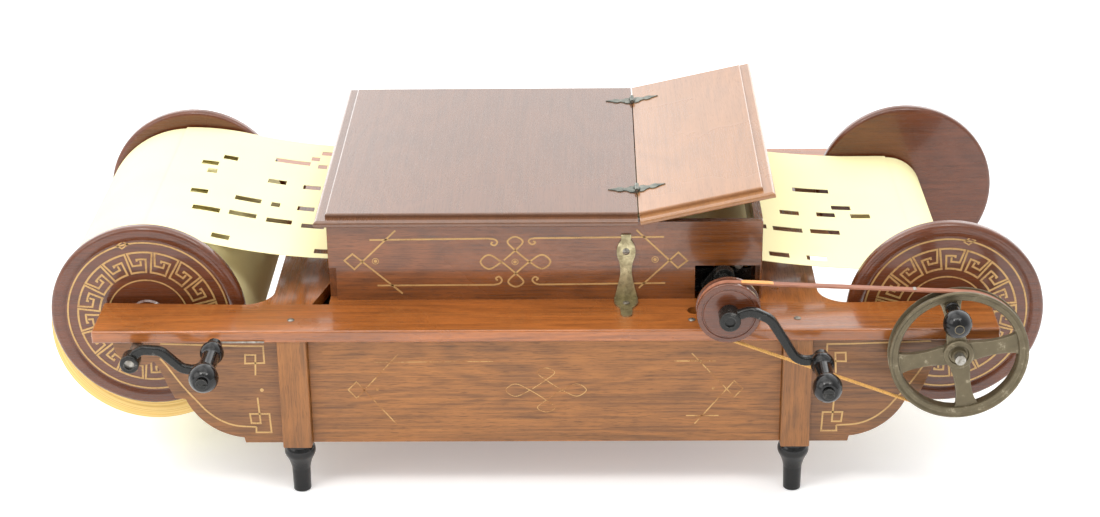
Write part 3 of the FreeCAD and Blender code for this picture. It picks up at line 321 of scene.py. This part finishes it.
def make_materials():
    made = {
        "shelf_x": wood("shelf wood along X", SHELF, "X", **SHELF_VARNISH, seed=1.0),
        "shelf_y": wood("shelf wood along Y", SHELF, "Y", **SHELF_VARNISH, seed=2.0),
        "case_x": wood("case wood along X", CASE, "X", 1.15, **CASE_VARNISH, seed=3.0),
        "case_y": wood("case wood along Y", CASE, "Y", 1.15, **CASE_VARNISH, seed=4.0),
        "case_z": wood("case wood along Z", tint(CASE, 0.95), "Z", 1.0, **CASE_VARNISH, seed=5.0),
        "box_x": wood("box wood along X", BOX, "X", **BOX_VARNISH, seed=6.0),
        "box_y": wood("box wood along Y", BOX, "Y", **BOX_VARNISH, seed=7.0),
        "bracket": wood("bracket wood", tint(CASE, 0.76), "X", 1.1, 0.4, 0.2, 0.22, seed=12.0),
        "lid": wood("lid wood", LID, "Y", 0.5, 0.24, 0.8, 0.08, figure=0.5, seed=8.0),
        "flap": wood("flap wood", FLAP, "Y", 0.45, 0.26, 0.7, 0.1, figure=0.5, seed=9.0),
        "disc": wood("disc wood", DISC, "X", 0.8, 0.22, 0.4, 0.06, figure=0.7, worn=0.6, seed=10.0),
        "core": wood("core wood", CORE, "Y", 0.8, 0.5, 0.0, 0.12, seed=11.0),
        "ebonised": ebonised("ebonised wood"),
        "japanned": painted_iron(
            "japanned iron", (0.008, 0.008, 0.007), (0.30, 0.29, 0.27),
            roughness=0.22, wear=0.35, metallic=0.1),
        "wheel": painted_iron(
            "bronzed iron", (0.105, 0.085, 0.050), (0.36, 0.31, 0.22),
            roughness=0.40, wear=0.6, metallic=0.45),
        "steel": old_metal("aged steel", (0.42, 0.40, 0.36), (0.19, 0.17, 0.14), 0.38),
        "brass": old_metal("aged brass", (0.52, 0.46, 0.28), (0.28, 0.24, 0.14), 0.36),
        "hinge": old_metal("hinge metal", (0.21, 0.215, 0.18), (0.10, 0.115, 0.10), 0.42, metallic=0.75),
        "paper": paper("paper", PAPER),
        "strap": leather("belt leather", (0.20, 0.062, 0.028), (0.34, 0.135, 0.072)),
        "splice": leather("splice leather", (0.62, 0.24, 0.05), (0.75, 0.38, 0.13)),
        "cord": thread("belt cord", (0.78, 0.42, 0.11)),
        "felt": cloth("black felt", (0.016, 0.017, 0.018)),
        "gold": gold_line("gold line", (0.52, 0.32, 0.12), (0.28, 0.14, 0.05), 0.3),
        "gold_worn": gold_line("worn gold line", (0.52, 0.31, 0.11), CASE, 1.1),
        "supply_roll_paper": paper("supply roll paper", PAPER, middle("supply_paper_roll")),
        "takeup_roll_paper": paper("take-up roll paper", PAPER, middle("takeup_paper_roll")),
    }
    return {name: look.material for name, look in made.items()}


MATERIALS = make_materials()

BY_SLOT = {
    "shelf_wood": "shelf_x", "case_wood": "case_x", "box_wood": "box_x", "lid_wood": "lid",
    "disc_wood": "disc", "core_wood": "core", "ebonised_wood": "ebonised", "japanned_iron": "japanned",
    "wheel_iron": "wheel", "steel": "steel", "brass": "brass", "hinge_metal": "hinge", "paper": "paper",
    "belt_leather": "strap", "belt_cord": "cord", "bellows_cloth": "felt",
}
BY_NODE = {
    "left_cross_board": "shelf_y", "right_cross_board": "shelf_y", "left_end_panel": "case_y",
    "right_end_panel": "case_y", "corner_posts": "case_z", "box_left_wall": "box_y",
    "box_right_wall": "box_y", "lid_flap": "flap", "front_left_bracket": "bracket",
    "front_right_bracket": "bracket",
}


def finish_cad_nodes():
    for name, node in frame["nodes"].items():
        node.data.materials.clear()
        node.data.materials.append(MATERIALS[BY_NODE.get(name, BY_SLOT[SLOT_OF[name]])])


# ---------------------------------------------------------------- mesh helpers

SHARP_ANGLE = math.radians(38)


def add_piece(name, vertices, faces, material, body, smooth=False, stands_for=()):
    mesh = bpy.data.meshes.new(name)
    mesh.from_pydata([tuple(vertex) for vertex in vertices], [], faces)
    mesh.validate()
    mesh.update()
    piece = bpy.data.objects.new(name, mesh)
    bpy.context.scene.collection.objects.link(piece)
    mesh.materials.append(MATERIALS[material])
    if smooth:
        mesh.shade_smooth()
    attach(piece, body)
    if stands_for:
        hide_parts(*stands_for)
    return piece


def curved(points, steps=8, closed=False):
    """Points of a smooth line through the given ones."""
    points = [Vector(point) for point in points]
    count = len(points)
    smooth = []
    for index in range(count if closed else count - 1):
        if closed:
            before, here, there, after = (points[(index + offset) % count] for offset in (-1, 0, 1, 2))
        else:
            here, there = points[index], points[index + 1]
            before = points[index - 1] if index else here * 2 - there
            after = points[index + 2] if index + 2 < count else there * 2 - here
        for step in range(steps):
            t = step / steps
            smooth.append(0.5 * (
                2 * here + (there - before) * t + (2 * before - 5 * here + 4 * there - after) * t * t
                + (3 * here - before - 3 * there + after) * t ** 3))
    if not closed:
        smooth.append(points[-1])
    return smooth


class Inlay:
    """Flat raised lines on a face, gathered into one closed mesh."""

    def __init__(self, place, thick=0.16, sunk=0.08):
        self.place = place
        self.levels = (-sunk, thick)
        self.vertices = []
        self.faces = []

    def line(self, points, width, closed=False):
        points = [Vector(point) for point in points]
        count = len(points)
        base = len(self.vertices)
        for index, point in enumerate(points):
            before = points[index - 1] if index or closed else None
            after = points[(index + 1) % count] if index + 1 < count or closed else None
            incoming = (point - before).normalized() if before is not None else None
            outgoing = (after - point).normalized() if after is not None else incoming
            incoming = incoming or outgoing
            along = (incoming + outgoing).normalized()
            side = Vector((-along.y, along.x))
            spread = 1 / max(0.45, side.dot(Vector((-incoming.y, incoming.x))))
            for sign, level in ((1, 0), (1, 1), (-1, 1), (-1, 0)):
                layer_edges_and_glow = point + side * sign * width / 2 * spread
                self.vertices.append(self.place(layer_edges_and_glow.x, layer_edges_and_glow.y, self.levels[level]))
        for index in range(count if closed else count - 1):
            here, there = base + 4 * index, base + 4 * ((index + 1) % count)
            for corner in range(4):
                following = (corner + 1) % 4
                self.faces.append((here + corner, there + corner, there + following, here + following))
        if not closed:
            end = base + 4 * (count - 1)
            self.faces.append((base, base + 1, base + 2, base + 3))
            self.faces.append((end + 3, end + 2, end + 1, end))

    def dot(self, x, y, radius, sides=20):
        base = len(self.vertices)
        for level in self.levels:
            for number in range(sides):
                angle = math.tau * number / sides
                rim_x, rim_y = x + radius * math.cos(angle), y + radius * math.sin(angle)
                self.vertices.append(self.place(rim_x, rim_y, level))
        self.faces.append(tuple(range(base + sides - 1, base - 1, -1)))
        self.faces.append(tuple(range(base + sides, base + 2 * sides)))
        for number in range(sides):
            here, there = base + number, base + (number + 1) % sides
            self.faces.append((here, there, there + sides, here + sides))

    def circle(self, x, y, radius, width, sides=48):
        points = [(x + radius * math.cos(math.tau * n / sides), y + radius * math.sin(math.tau * n / sides))
                  for n in range(sides)]
        self.line(points, width, closed=True)

    def finish(self, name, body, material="gold"):
        piece = add_piece(name, self.vertices, self.faces, material, body)
        fix_normals(piece)
        return piece


def fix_normals(piece):
    """Turns every face of a closed piece outwards."""
    work = bmesh.new()
    work.from_mesh(piece.data)
    bmesh.ops.recalc_face_normals(work, faces=work.faces)
    work.to_mesh(piece.data)
    work.free()


def facing_player(plane_y):
    """Puts (x, z) in millimetres on an upright face that looks at the player."""
    def place(x, z, height):
        return Vector((at(x, 0, 0).x, plane_y - height * MM, z * MM))
    return place


def ring_mesh(profile, centre, segments, wobble=None):
    """Vertices and faces of a closed (radius, y) outline turned about the Y axis through centre."""
    vertices = []
    count = len(profile)
    for number in range(segments):
        angle = math.tau * number / segments
        for index, (radius, y) in enumerate(profile):
            reach = radius * (1 - (wobble(angle, radius) if wobble else 0))
            vertices.append((centre.x + reach * math.cos(angle), y, centre.z + reach * math.sin(angle)))
    faces = []
    for number in range(segments):
        here, there = number * count, (number + 1) % segments * count
        for index in range(count):
            following = (index + 1) % count
            faces.append((here + index, here + following, there + following, there + index))
    return vertices, faces


# ---------------------------------------------------------------- gilt decoration
# Lines are drawn in millimetres: across from the base's middle, and up from the floor.

LINE = 2.0
FINE_LINE = 1.4
# rings and Greek key of a spool's face, as shares of its radius
OUTER_RING = 0.825
INNER_RING = 0.41
KEY_BAND = (0.50, 0.72)
DIAMOND = ((-6.4, -0.9), (0.7, 4.6), (6.4, 0.9), (-0.7, -4.6))
KEY_UNITS = 16
KEY_PITCH = math.tau / KEY_UNITS
# one unit of the Greek key: along the ring in pitches, across it from 0 inside to 1 outside
KEY_UNIT = ((0.45, 0.57), (0.45, 0.35), (0.07, 0.35), (0.0, 1.0), (0.9, 1.0),
            (0.9, 0.0), (1.67, 0.0), (1.67, 0.65), (1.3, 0.65), (1.3, 0.55))


def quatrefoil(x, z, wide, tall):
    """A four-looped knot of one line around its centre."""
    cross_x, cross_z = 0.4 * wide, 0.46 * tall
    loop_x, loop_z = 0.22 * wide, 0.28 * tall
    quarter = [(-cross_x, 0), (-0.76 * wide, -loop_z), (-wide, 0), (-0.76 * wide, loop_z), (-cross_x, 0),
               (0, -cross_z), (loop_x, -0.8 * tall), (0, -tall), (-loop_x, -0.8 * tall), (0, -cross_z)]
    half = quarter + [(-px, -pz) for px, pz in quarter]
    return curved([(x + px, z + pz) for px, pz in half], 6, closed=True)


# Each is a gilt rule's far end, then the curl that it runs into.
BOX_RULES = (
    ((-204.0, 296.4), ((-66.0, 297.6), (-58.0, 296.4), (-55.0, 292.6), (-58.2, 288.8), (-62.2, 290.6),
                       (-60.6, 293.4))),
    ((-197.0, 237.8), ((-60.0, 238.0), (-53.0, 240.0), (-50.6, 244.4), (-53.8, 248.6), (-57.6, 246.6),
                       (-55.6, 243.8))),
    ((139.1, 298.8), ((-11.0, 297.8), (-16.6, 296.6), (-18.4, 293.2), (-14.4, 289.8), (-10.8, 292.2),
                      (-13.2, 294.2))),
    ((141.0, 239.5), ((-7.0, 238.2), (-12.6, 240.6), (-14.8, 244.8), (-11.6, 248.2), (-8.2, 246.0),
                      (-10.4, 243.6))),
)


def decorate_box_front():
    """Arrow-shaped knots at both ends, curled rules between them and a quatrefoil off the middle."""
    inlay = Inlay(facing_player(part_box("box_front_wall")[0].y))
    inlay.line([(-173.5, 308.3), (-223.3, 258.9), (-234.7, 270.2), (-224.7, 278.6), (-167.7, 227.2)], LINE)
    inlay.line([(107.0, 307.7), (155.6, 259.0), (166.6, 268.1), (156.0, 278.9), (110.1, 233.2)], LINE)
    for far_end, curl in BOX_RULES:
        inlay.line([far_end] + curved(curl), LINE)
    inlay.line(quatrefoil(-34.2, 267.6, 41.0, 32.2), LINE)
    for x, z in ((-198.2, 269.2), (-34.8, 267.5), (128.9, 269.8)):
        inlay.circle(x, z, 3.7, 0.8, 20)
        inlay.dot(x, z, 2.0, 14)
    inlay.finish("box_front_inlay", "case")


def decorate_front_panel():
    """The worn lines of the front panel: a knot at each end and the ghost of a quatrefoil."""
    inlay = Inlay(facing_player(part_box("front_panel")[0].y), 0.12)
    for side in (-1, 1):
        arm = [(170.2, 181.8), (220.4, 124.6), (229.8, 135.8), (219.9, 146.0), (174.5, 89.3)]
        inlay.line([(side * x, z) for x, z in arm], FINE_LINE)
        inlay.dot(side * 196.0, 136.0, 2.0, 14)
    inlay.line([(164.4, 100.2), (202.6, 100.1)], FINE_LINE)
    inlay.line([(150.0, 171.9), (198.1, 171.8)], FINE_LINE)
    inlay.line([(-198.0, 171.6), (-60.0, 172.2)], 0.7)
    inlay.line(quatrefoil(1.0, 134.5, 47.0, 29.0), 0.9)
    inlay.finish("front_panel_inlay", "case", "gold_worn")


def decorate_bracket(node, side):
    """The knots and the long curve that follow a bracket's edges."""
    inlay = Inlay(facing_player(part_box(node)[0].y))
    knots = (
        [(-445.0, 196.5), (-350.0, 193.4), (-326.0, 193.2), (-325.9, 171.3), (-348.3, 170.7), (-347.5, 182.0),
         (-335.6, 181.7), (-337.3, 155.1)],
        [(-336.7, 125.8), (-335.1, 91.9), (-345.9, 92.0), (-347.0, 104.3), (-324.1, 104.2), (-323.1, 79.5),
         (-341.0, 79.6), (-340.5, 86.9)],
    )
    for knot in knots:
        inlay.line([(-side * x, z) for x, z in knot], LINE)
    sweep = [(-446.9, 177.5), (-440.1, 168.3), (-423.9, 142.4), (-407.1, 120.3), (-396.7, 107.6),
             (-382.2, 96.0), (-364.7, 88.9), (-340.5, 86.9)]
    inlay.line([(-side * point.x, point.y) for point in curved(sweep, 5)], LINE)
    inlay.dot(-side * -331.0, 135.8, 2.2, 14)
    inlay.finish(f"{node}_inlay", "case")


def decorate_disc(node, body, way):
    """A Greek key between two rings on a spool's front face; way is 1 clockwise and -1 the other way."""
    low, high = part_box(node)
    centre = (low + high) / 2
    radius = (high.x - low.x) / 2 / MM
    field = low.y + 2.5 * MM

    def place(x, z, height):
        return Vector((centre.x + x * MM, field - height * MM, centre.z + z * MM))

    inlay = Inlay(place)
    ring = OUTER_RING * radius
    inlay.circle(0, 0, ring, 2.0, 160)
    inlay.circle(0, 0, INNER_RING * radius, 1.7, 96)
    inner, outer = (share * radius for share in KEY_BAND)
    for unit in range(KEY_UNITS):
        points = []
        for index, (along, across) in enumerate(KEY_UNIT):
            if index:
                last_along, last_across = KEY_UNIT[index - 1]
                steps = max(1, round(abs(along - last_along) * 6))
            else:
                last_along, last_across, steps = along, across, 1
            for step in range(1, steps + 1):
                u = last_along + (along - last_along) * step / steps
                v = last_across + (across - last_across) * step / steps
                angle = math.pi / 2 + way * (math.radians(13) - KEY_PITCH * (unit + u))
                reach = inner + (outer - inner) * v
                points.append((reach * math.cos(angle), reach * math.sin(angle)))
        inlay.line(points, 2.3)
    diamond_angle = math.pi / 2 + way * math.radians(14)
    diamond = Vector((math.cos(diamond_angle), math.sin(diamond_angle))) * ring
    inlay.line([(diamond.x + dx, diamond.y + dz) for dx, dz in DIAMOND], 1.5, closed=True)
    inlay.finish(f"{node}_inlay", body)


# ---------------------------------------------------------------- paper

COIL_UNEVENNESS = 1.6           # how far a wound layer may stand in from the roll's end
COIL_GROOVE = 0.5               # depth of the groove between layers
COIL_FILL = 0.86                # share of a layer's step that its edge fills


def wind_roll(node, body, bore_share, layers, seed):
    """A paper roll whose ends show uneven wound layers and whose outside is slightly out of round."""
    low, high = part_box(node)
    centre = (low + high) / 2
    outer = (high.x - low.x) / 2
    bore = outer * bore_share
    step = (outer - bore) / layers
    rng = random.Random(seed)
    front, back = [], []
    for layer in range(layers + 1):
        radius = outer - (outer - bore) * layer / layers
        for profile_end, face, inward in ((front, low.y, 1), (back, high.y, -1)):
            inset = rng.uniform(0.0, COIL_UNEVENNESS) * MM
            profile_end.append((radius, face + inward * inset))
            if layer < layers:
                groove = inset + COIL_GROOVE * MM
                profile_end.append((radius - step * COIL_FILL, face + inward * groove))
    across = [(outer, low.y + (high.y - low.y) * part / 12) for part in range(1, 12)]
    profile = front[::-1] + across + back

    def wobble(angle, radius):
        return 0.004 + 0.004 * math.sin(3 * angle + 40 * radius) * (radius / outer) ** 2

    vertices, faces = ring_mesh(profile, centre, 144, wobble)
    piece = add_piece(node.replace("paper_roll", "roll_coils"), vertices, faces, f"{body}_paper", body,
                      smooth=True, stands_for=[node])
    fix_normals(piece)
    piece.data.set_sharp_from_angle(angle=SHARP_ANGLE)


# ---------------------------------------------------------------- belt

def tube(path, radius, sides):
    """Vertices and faces of a closed round tube along a list of points."""
    vertices, faces = [], []
    count = len(path)
    side_way = Vector((0, 1, 0))
    for index, point in enumerate(path):
        along = (path[min(index + 1, count - 1)] - path[max(index - 1, 0)]).normalized()
        across = along.cross(side_way).normalized()
        up = across.cross(along).normalized()
        for number in range(sides):
            angle = math.tau * number / sides
            vertices.append(point + (across * math.cos(angle) + up * math.sin(angle)) * radius)
    for index in range(count - 1):
        for number in range(sides):
            here, there = index * sides + number, index * sides + (number + 1) % sides
            faces.append((here, there, there + sides, here + sides))
    faces.append(tuple(range(sides - 1, -1, -1)))
    faces.append(tuple(range((count - 1) * sides, count * sides)))
    return vertices, faces


CORD_LAY = 9.0                  # one full turn of a strand, along the cord
CORD_STRANDS = 3
STEPS_PER_TURN = 10


def end_middle(points, near_end):
    """Middle of the points that belong to one end of a straight run."""
    chosen = [point for point in points if near_end(point)]
    return sum(chosen, Vector()) / len(chosen)


def twist_cord():
    """The lower run of the belt: three strands laid together between pulley and wheel."""
    low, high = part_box("belt_cord")
    radius = (high.y - low.y) / 2
    points = [vertex.co for vertex in frame["nodes"]["belt_cord"].data.vertices]
    start = end_middle(points, lambda point: point.x < low.x + 3 * radius)
    end = end_middle(points, lambda point: point.x > high.x - 3 * radius)
    along = (end - start).normalized()
    aside = Vector((0, 1, 0))
    up = along.cross(aside).normalized()
    long = (end - start).length
    steps = int(long / (CORD_LAY * MM) * STEPS_PER_TURN)
    vertices, faces = [], []
    for strand in range(CORD_STRANDS):
        path = []
        for step in range(steps + 1):
            angle = math.tau * (step / STEPS_PER_TURN + strand / CORD_STRANDS)
            swing = (aside * math.cos(angle) + up * math.sin(angle)) * radius * 0.54
            path.append(start + along * long * step / steps + swing)
        strand_vertices, strand_faces = tube(path, radius * 0.6, 8)
        base = len(vertices)
        vertices += strand_vertices
        faces += [tuple(base + corner for corner in face) for face in strand_faces]
    piece = add_piece("belt_cord_twist", vertices, faces, "cord", "case", smooth=True,
                      stands_for=["belt_cord"])
    fix_normals(piece)


STRAP_OUTER = (35.4, 77.4)      # radius of the strap's outer face on the pulley and on the wheel
STRAP_MARGIN = 0.4              # bare edge of the strap beside what is fixed on it
SLAB_STEPS = 12


def belt_top_run():
    """Start of the strap's straight top run, its direction, and the way out from its outer face."""
    shaft, wheel = middle("drive_pulley"), middle("drive_wheel")
    small, large = (radius * MM for radius in STRAP_OUTER)
    span = wheel - shaft
    slope = math.atan2(span.z, span.x)
    top = slope + math.acos(-(large - small) / math.hypot(span.x, span.z))
    outward = Vector((math.cos(top), 0, math.sin(top)))
    start = Vector((shaft.x, 0, shaft.z)) + outward * small
    end = Vector((wheel.x, 0, wheel.z)) + outward * large
    return start, (end - start).normalized(), outward


def belt_slab(name, first, last, thick, material):
    """A flat piece with eased ends and edges on the top run, from first to last millimetres along it."""
    low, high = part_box("belt_strap")
    start, along, outward = belt_top_run()
    front, back = low.y + STRAP_MARGIN * MM, high.y - STRAP_MARGIN * MM
    vertices, faces = [], []
    for step in range(SLAB_STEPS + 1):
        part = step / SLAB_STEPS
        here = start + along * (first + (last - first) * part) * MM
        ease = min(1.0, 6 * min(part, 1 - part) + 0.25)
        section = ((front, -0.1), (front, thick * ease * 0.8), ((front + back) / 2, thick * ease),
                   (back, thick * ease * 0.8), (back, -0.1))
        for y, lift in section:
            vertices.append((here.x + outward.x * lift * MM, y, here.z + outward.z * lift * MM))
        if step:
            base = 5 * (step - 1)
            for corner in range(5):
                following = (corner + 1) % 5
                faces.append((base + corner, base + following, base + 5 + following, base + 5 + corner))
    faces.append((4, 3, 2, 1, 0))
    faces.append(tuple(5 * SLAB_STEPS + corner for corner in range(5)))
    fix_normals(add_piece(name, vertices, faces, material, "case"))


# ---------------------------------------------------------------- knob on the belt wheel

KNOB_BALL = 16.2
KNOB_BORE = 3.4
KNOB_COLLAR = (8.0, 2.2)        # radius and depth
KNOB_NECK = (7.0, 1.1)          # radius at its ends, and how much it hollows
KNOB_PROUD = 3.4                # how far the ball closes over the spindle's screw


def wheel_knob():
    """The round black knob on the belt wheel: a collar, a hollow neck and a ball closed over its screw."""
    low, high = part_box("wheel_knob")
    centre = (low + high) / 2
    ball = KNOB_BALL * MM
    core = low.y + ball - KNOB_PROUD * MM
    collar_radius, collar_depth = KNOB_COLLAR
    profile = [(KNOB_BORE * MM, high.y), (collar_radius * MM, high.y),
               (collar_radius * MM, high.y - collar_depth * MM)]
    neck_end = core + 0.92 * ball
    neck_start = high.y - 3.4 * MM
    neck_radius, hollow = KNOB_NECK
    for step in range(13):
        part = step / 12
        waist = neck_radius - hollow * math.sin(math.pi * part)
        profile.append((waist * MM, neck_start + (neck_end - neck_start) * part))
    for step in range(25):
        angle = math.radians(62 - 150 * step / 24)
        profile.append((ball * math.cos(angle), core + ball * math.sin(angle)))
    bore_end = high.y - 30 * MM
    profile += [(0.3 * MM, core - ball), (0.3 * MM, bore_end), (KNOB_BORE * MM, bore_end)]
    vertices, faces = ring_mesh(profile, centre, 64)
    piece = add_piece("wheel_knob_ball", vertices, faces, "ebonised", "wheel_grip",
                      smooth=True, stands_for=["wheel_knob"])
    fix_normals(piece)
    piece.data.set_sharp_from_angle(angle=SHARP_ANGLE)


# ---------------------------------------------------------------- stage, lights and camera

FLOOR_HALF = 9.0                # metres
FLOOR_CELLS = 90
FLOOR_DROP = 0.0006             # metres under the feet


def make_stage():
    """A wide white paper floor, faintly folded with painted shade along its folds, and slightly glowing, as
    lit from all round.
    """
    mesh = bpy.data.meshes.new("floor")
    row_length = FLOOR_CELLS + 1
    vertices, faces = [], []
    for row in range(row_length):
        for column in range(row_length):
            x, y = (column / FLOOR_CELLS * 2 - 1) * FLOOR_HALF, (row / FLOOR_CELLS * 2 - 1) * FLOOR_HALF
            vertices.append((x, y, -FLOOR_DROP))
    for row in range(FLOOR_CELLS):
        for column in range(FLOOR_CELLS):
            corner = row * row_length + column
            faces.append((corner, corner + 1, corner + row_length + 1, corner + row_length))
    mesh.from_pydata(vertices, [], faces)
    floor = bpy.data.objects.new("floor", mesh)
    bpy.context.scene.collection.objects.link(floor)
    look = Look("white paper floor")
    folds_and_fold_shade = look.noise((1.3, 3.5, 1.0), 3.0, 0.5, 0.8)
    # painted shade: the floor's colour turns greyer with the fold pattern, standing for the shading of its
    # wrinkles; the same pattern also drives the real fold bumps
    look.set(Base_Color=look.mix(look.spread(folds_and_fold_shade, 0.35, 0.7), (0.93, 0.935, 0.94), (0.88, 0.885, 0.89)),
             Roughness=0.9, Emission_Color=(0.96, 0.98, 1.0), Emission_Strength=0.26)
    look.bump(folds_and_fold_shade, 0.25, 0.03)
    mesh.materials.append(look.material)


def smooth_range(tree, source, spread, levels):
    """Maps a socket's spread of values smoothly onto two levels."""
    node = tree.nodes.new("ShaderNodeMapRange")
    node.interpolation_type = "SMOOTHSTEP"
    tree.links.new(source, node.inputs["Value"])
    for name, value in zip(("From Min", "From Max", "To Min", "To Max"), (*spread, *levels)):
        node.inputs[name].default_value = value
    return node.outputs[0]


def make_world():
    """White studio: bright behind the object, for the sheen on its flat tops, softer at the player's side."""
    world = bpy.data.worlds.new("studio")
    bpy.context.scene.world = world
    world.use_nodes = True
    tree = world.node_tree
    background = next(node for node in tree.nodes if node.type == "BACKGROUND")
    background.inputs["Color"].default_value = (1.0, 1.0, 1.0, 1.0)
    place = tree.nodes.new("ShaderNodeTexCoord")
    parts = tree.nodes.new("ShaderNodeSeparateXYZ")
    tree.links.new(place.outputs["Generated"], parts.inputs[0])
    behind = smooth_range(tree, parts.outputs[1], (-0.5, 0.9), (0.42, 1.45))
    across = tree.nodes.new("ShaderNodeMath")
    across.operation = "ABSOLUTE"
    tree.links.new(parts.outputs[0], across.inputs[0])
    wings = smooth_range(tree, across.outputs[0], (0.04, 0.26), (1.0, 1.8))
    strength = tree.nodes.new("ShaderNodeMath")
    strength.operation = "MULTIPLY"
    tree.links.new(behind, strength.inputs[0])
    tree.links.new(wings, strength.inputs[1])
    tree.links.new(strength.outputs[0], background.inputs["Strength"])


def make_light(name, place, target, size, power):
    """A softbox; its size is in metres and its power in watts."""
    data = bpy.data.lights.new(name, "AREA")
    data.shape = "RECTANGLE"
    data.size, data.size_y = size
    data.energy = power
    data.color = (1.0, 0.98, 0.95)
    light = bpy.data.objects.new(name, data)
    light.location = place
    light.rotation_euler = (Vector(target) - Vector(place)).to_track_quat("-Z", "Y").to_euler()
    bpy.context.scene.collection.objects.link(light)


CAMERA_PLACE = (51.0, -2575.2, 1355.0)
CAMERA_TURN = (-1.077, -24.29, -0.705)      # yaw, pitch and roll in degrees


def make_camera():
    """The photograph's view: from the player's side, looking down at about 24 degrees."""
    yaw, pitch, roll = (math.radians(angle) for angle in CAMERA_TURN)
    ahead = Vector((math.sin(yaw) * math.cos(pitch), math.cos(yaw) * math.cos(pitch), math.sin(pitch)))
    right = ahead.cross(Vector((0, 0, 1))).normalized()
    up = right.cross(ahead)
    tilted_right = right * math.cos(roll) + up * math.sin(roll)
    tilted_up = up * math.cos(roll) - right * math.sin(roll)
    data = bpy.data.cameras.new("camera")
    data.sensor_width = 36.0
    data.lens = 73.2
    data.shift_y = -0.00708
    data.clip_end = 50.0
    camera = bpy.data.objects.new("camera", data)
    axes = Matrix((tilted_right, tilted_up, -ahead)).transposed().to_4x4()
    camera.matrix_world = Matrix.Translation(at(*CAMERA_PLACE)) @ axes
    bpy.context.scene.collection.objects.link(camera)
    bpy.context.scene.camera = camera


# ---------------------------------------------------------------- the whole picture

finish_cad_nodes()
decorate_box_front()
decorate_front_panel()
decorate_bracket("front_left_bracket", -1)
decorate_bracket("front_right_bracket", 1)
decorate_disc("supply_front_flange", "supply_spool", 1)
decorate_disc("takeup_front_flange", "takeup_spool", -1)
wind_roll("supply_paper_roll", "supply_roll", bore_share=0.47, layers=34, seed=7)
wind_roll("takeup_paper_roll", "takeup_roll", bore_share=0.868, layers=6, seed=11)
twist_cord()
belt_slab("belt_splice", 12.0, 48.0, 1.0, "splice")
belt_slab("belt_staple", 205.0, 209.0, 0.9, "steel")
wheel_knob()

make_stage()
make_world()
shelf_middle = at(0, 0, 200)
front_of_shelf = at(0, -200, 200)
make_light("overhead softbox", at(-300, -300, 2300), shelf_middle, (2.2, 1.6), 14)
make_light("strip softbox", at(0, -1150, 2100), shelf_middle, (2.6, 0.45), 13)
make_light("left spark", at(-750, -1300, 1900), front_of_shelf, (0.35, 0.35), 5)
make_light("right spark", at(750, -1300, 1900), front_of_shelf, (0.35, 0.35), 5)
make_light("side softbox", at(-1900, -1300, 1500), shelf_middle, (1.4, 1.4), 15)
make_camera()
bpy.context.scene.view_settings.view_transform = "Standard"
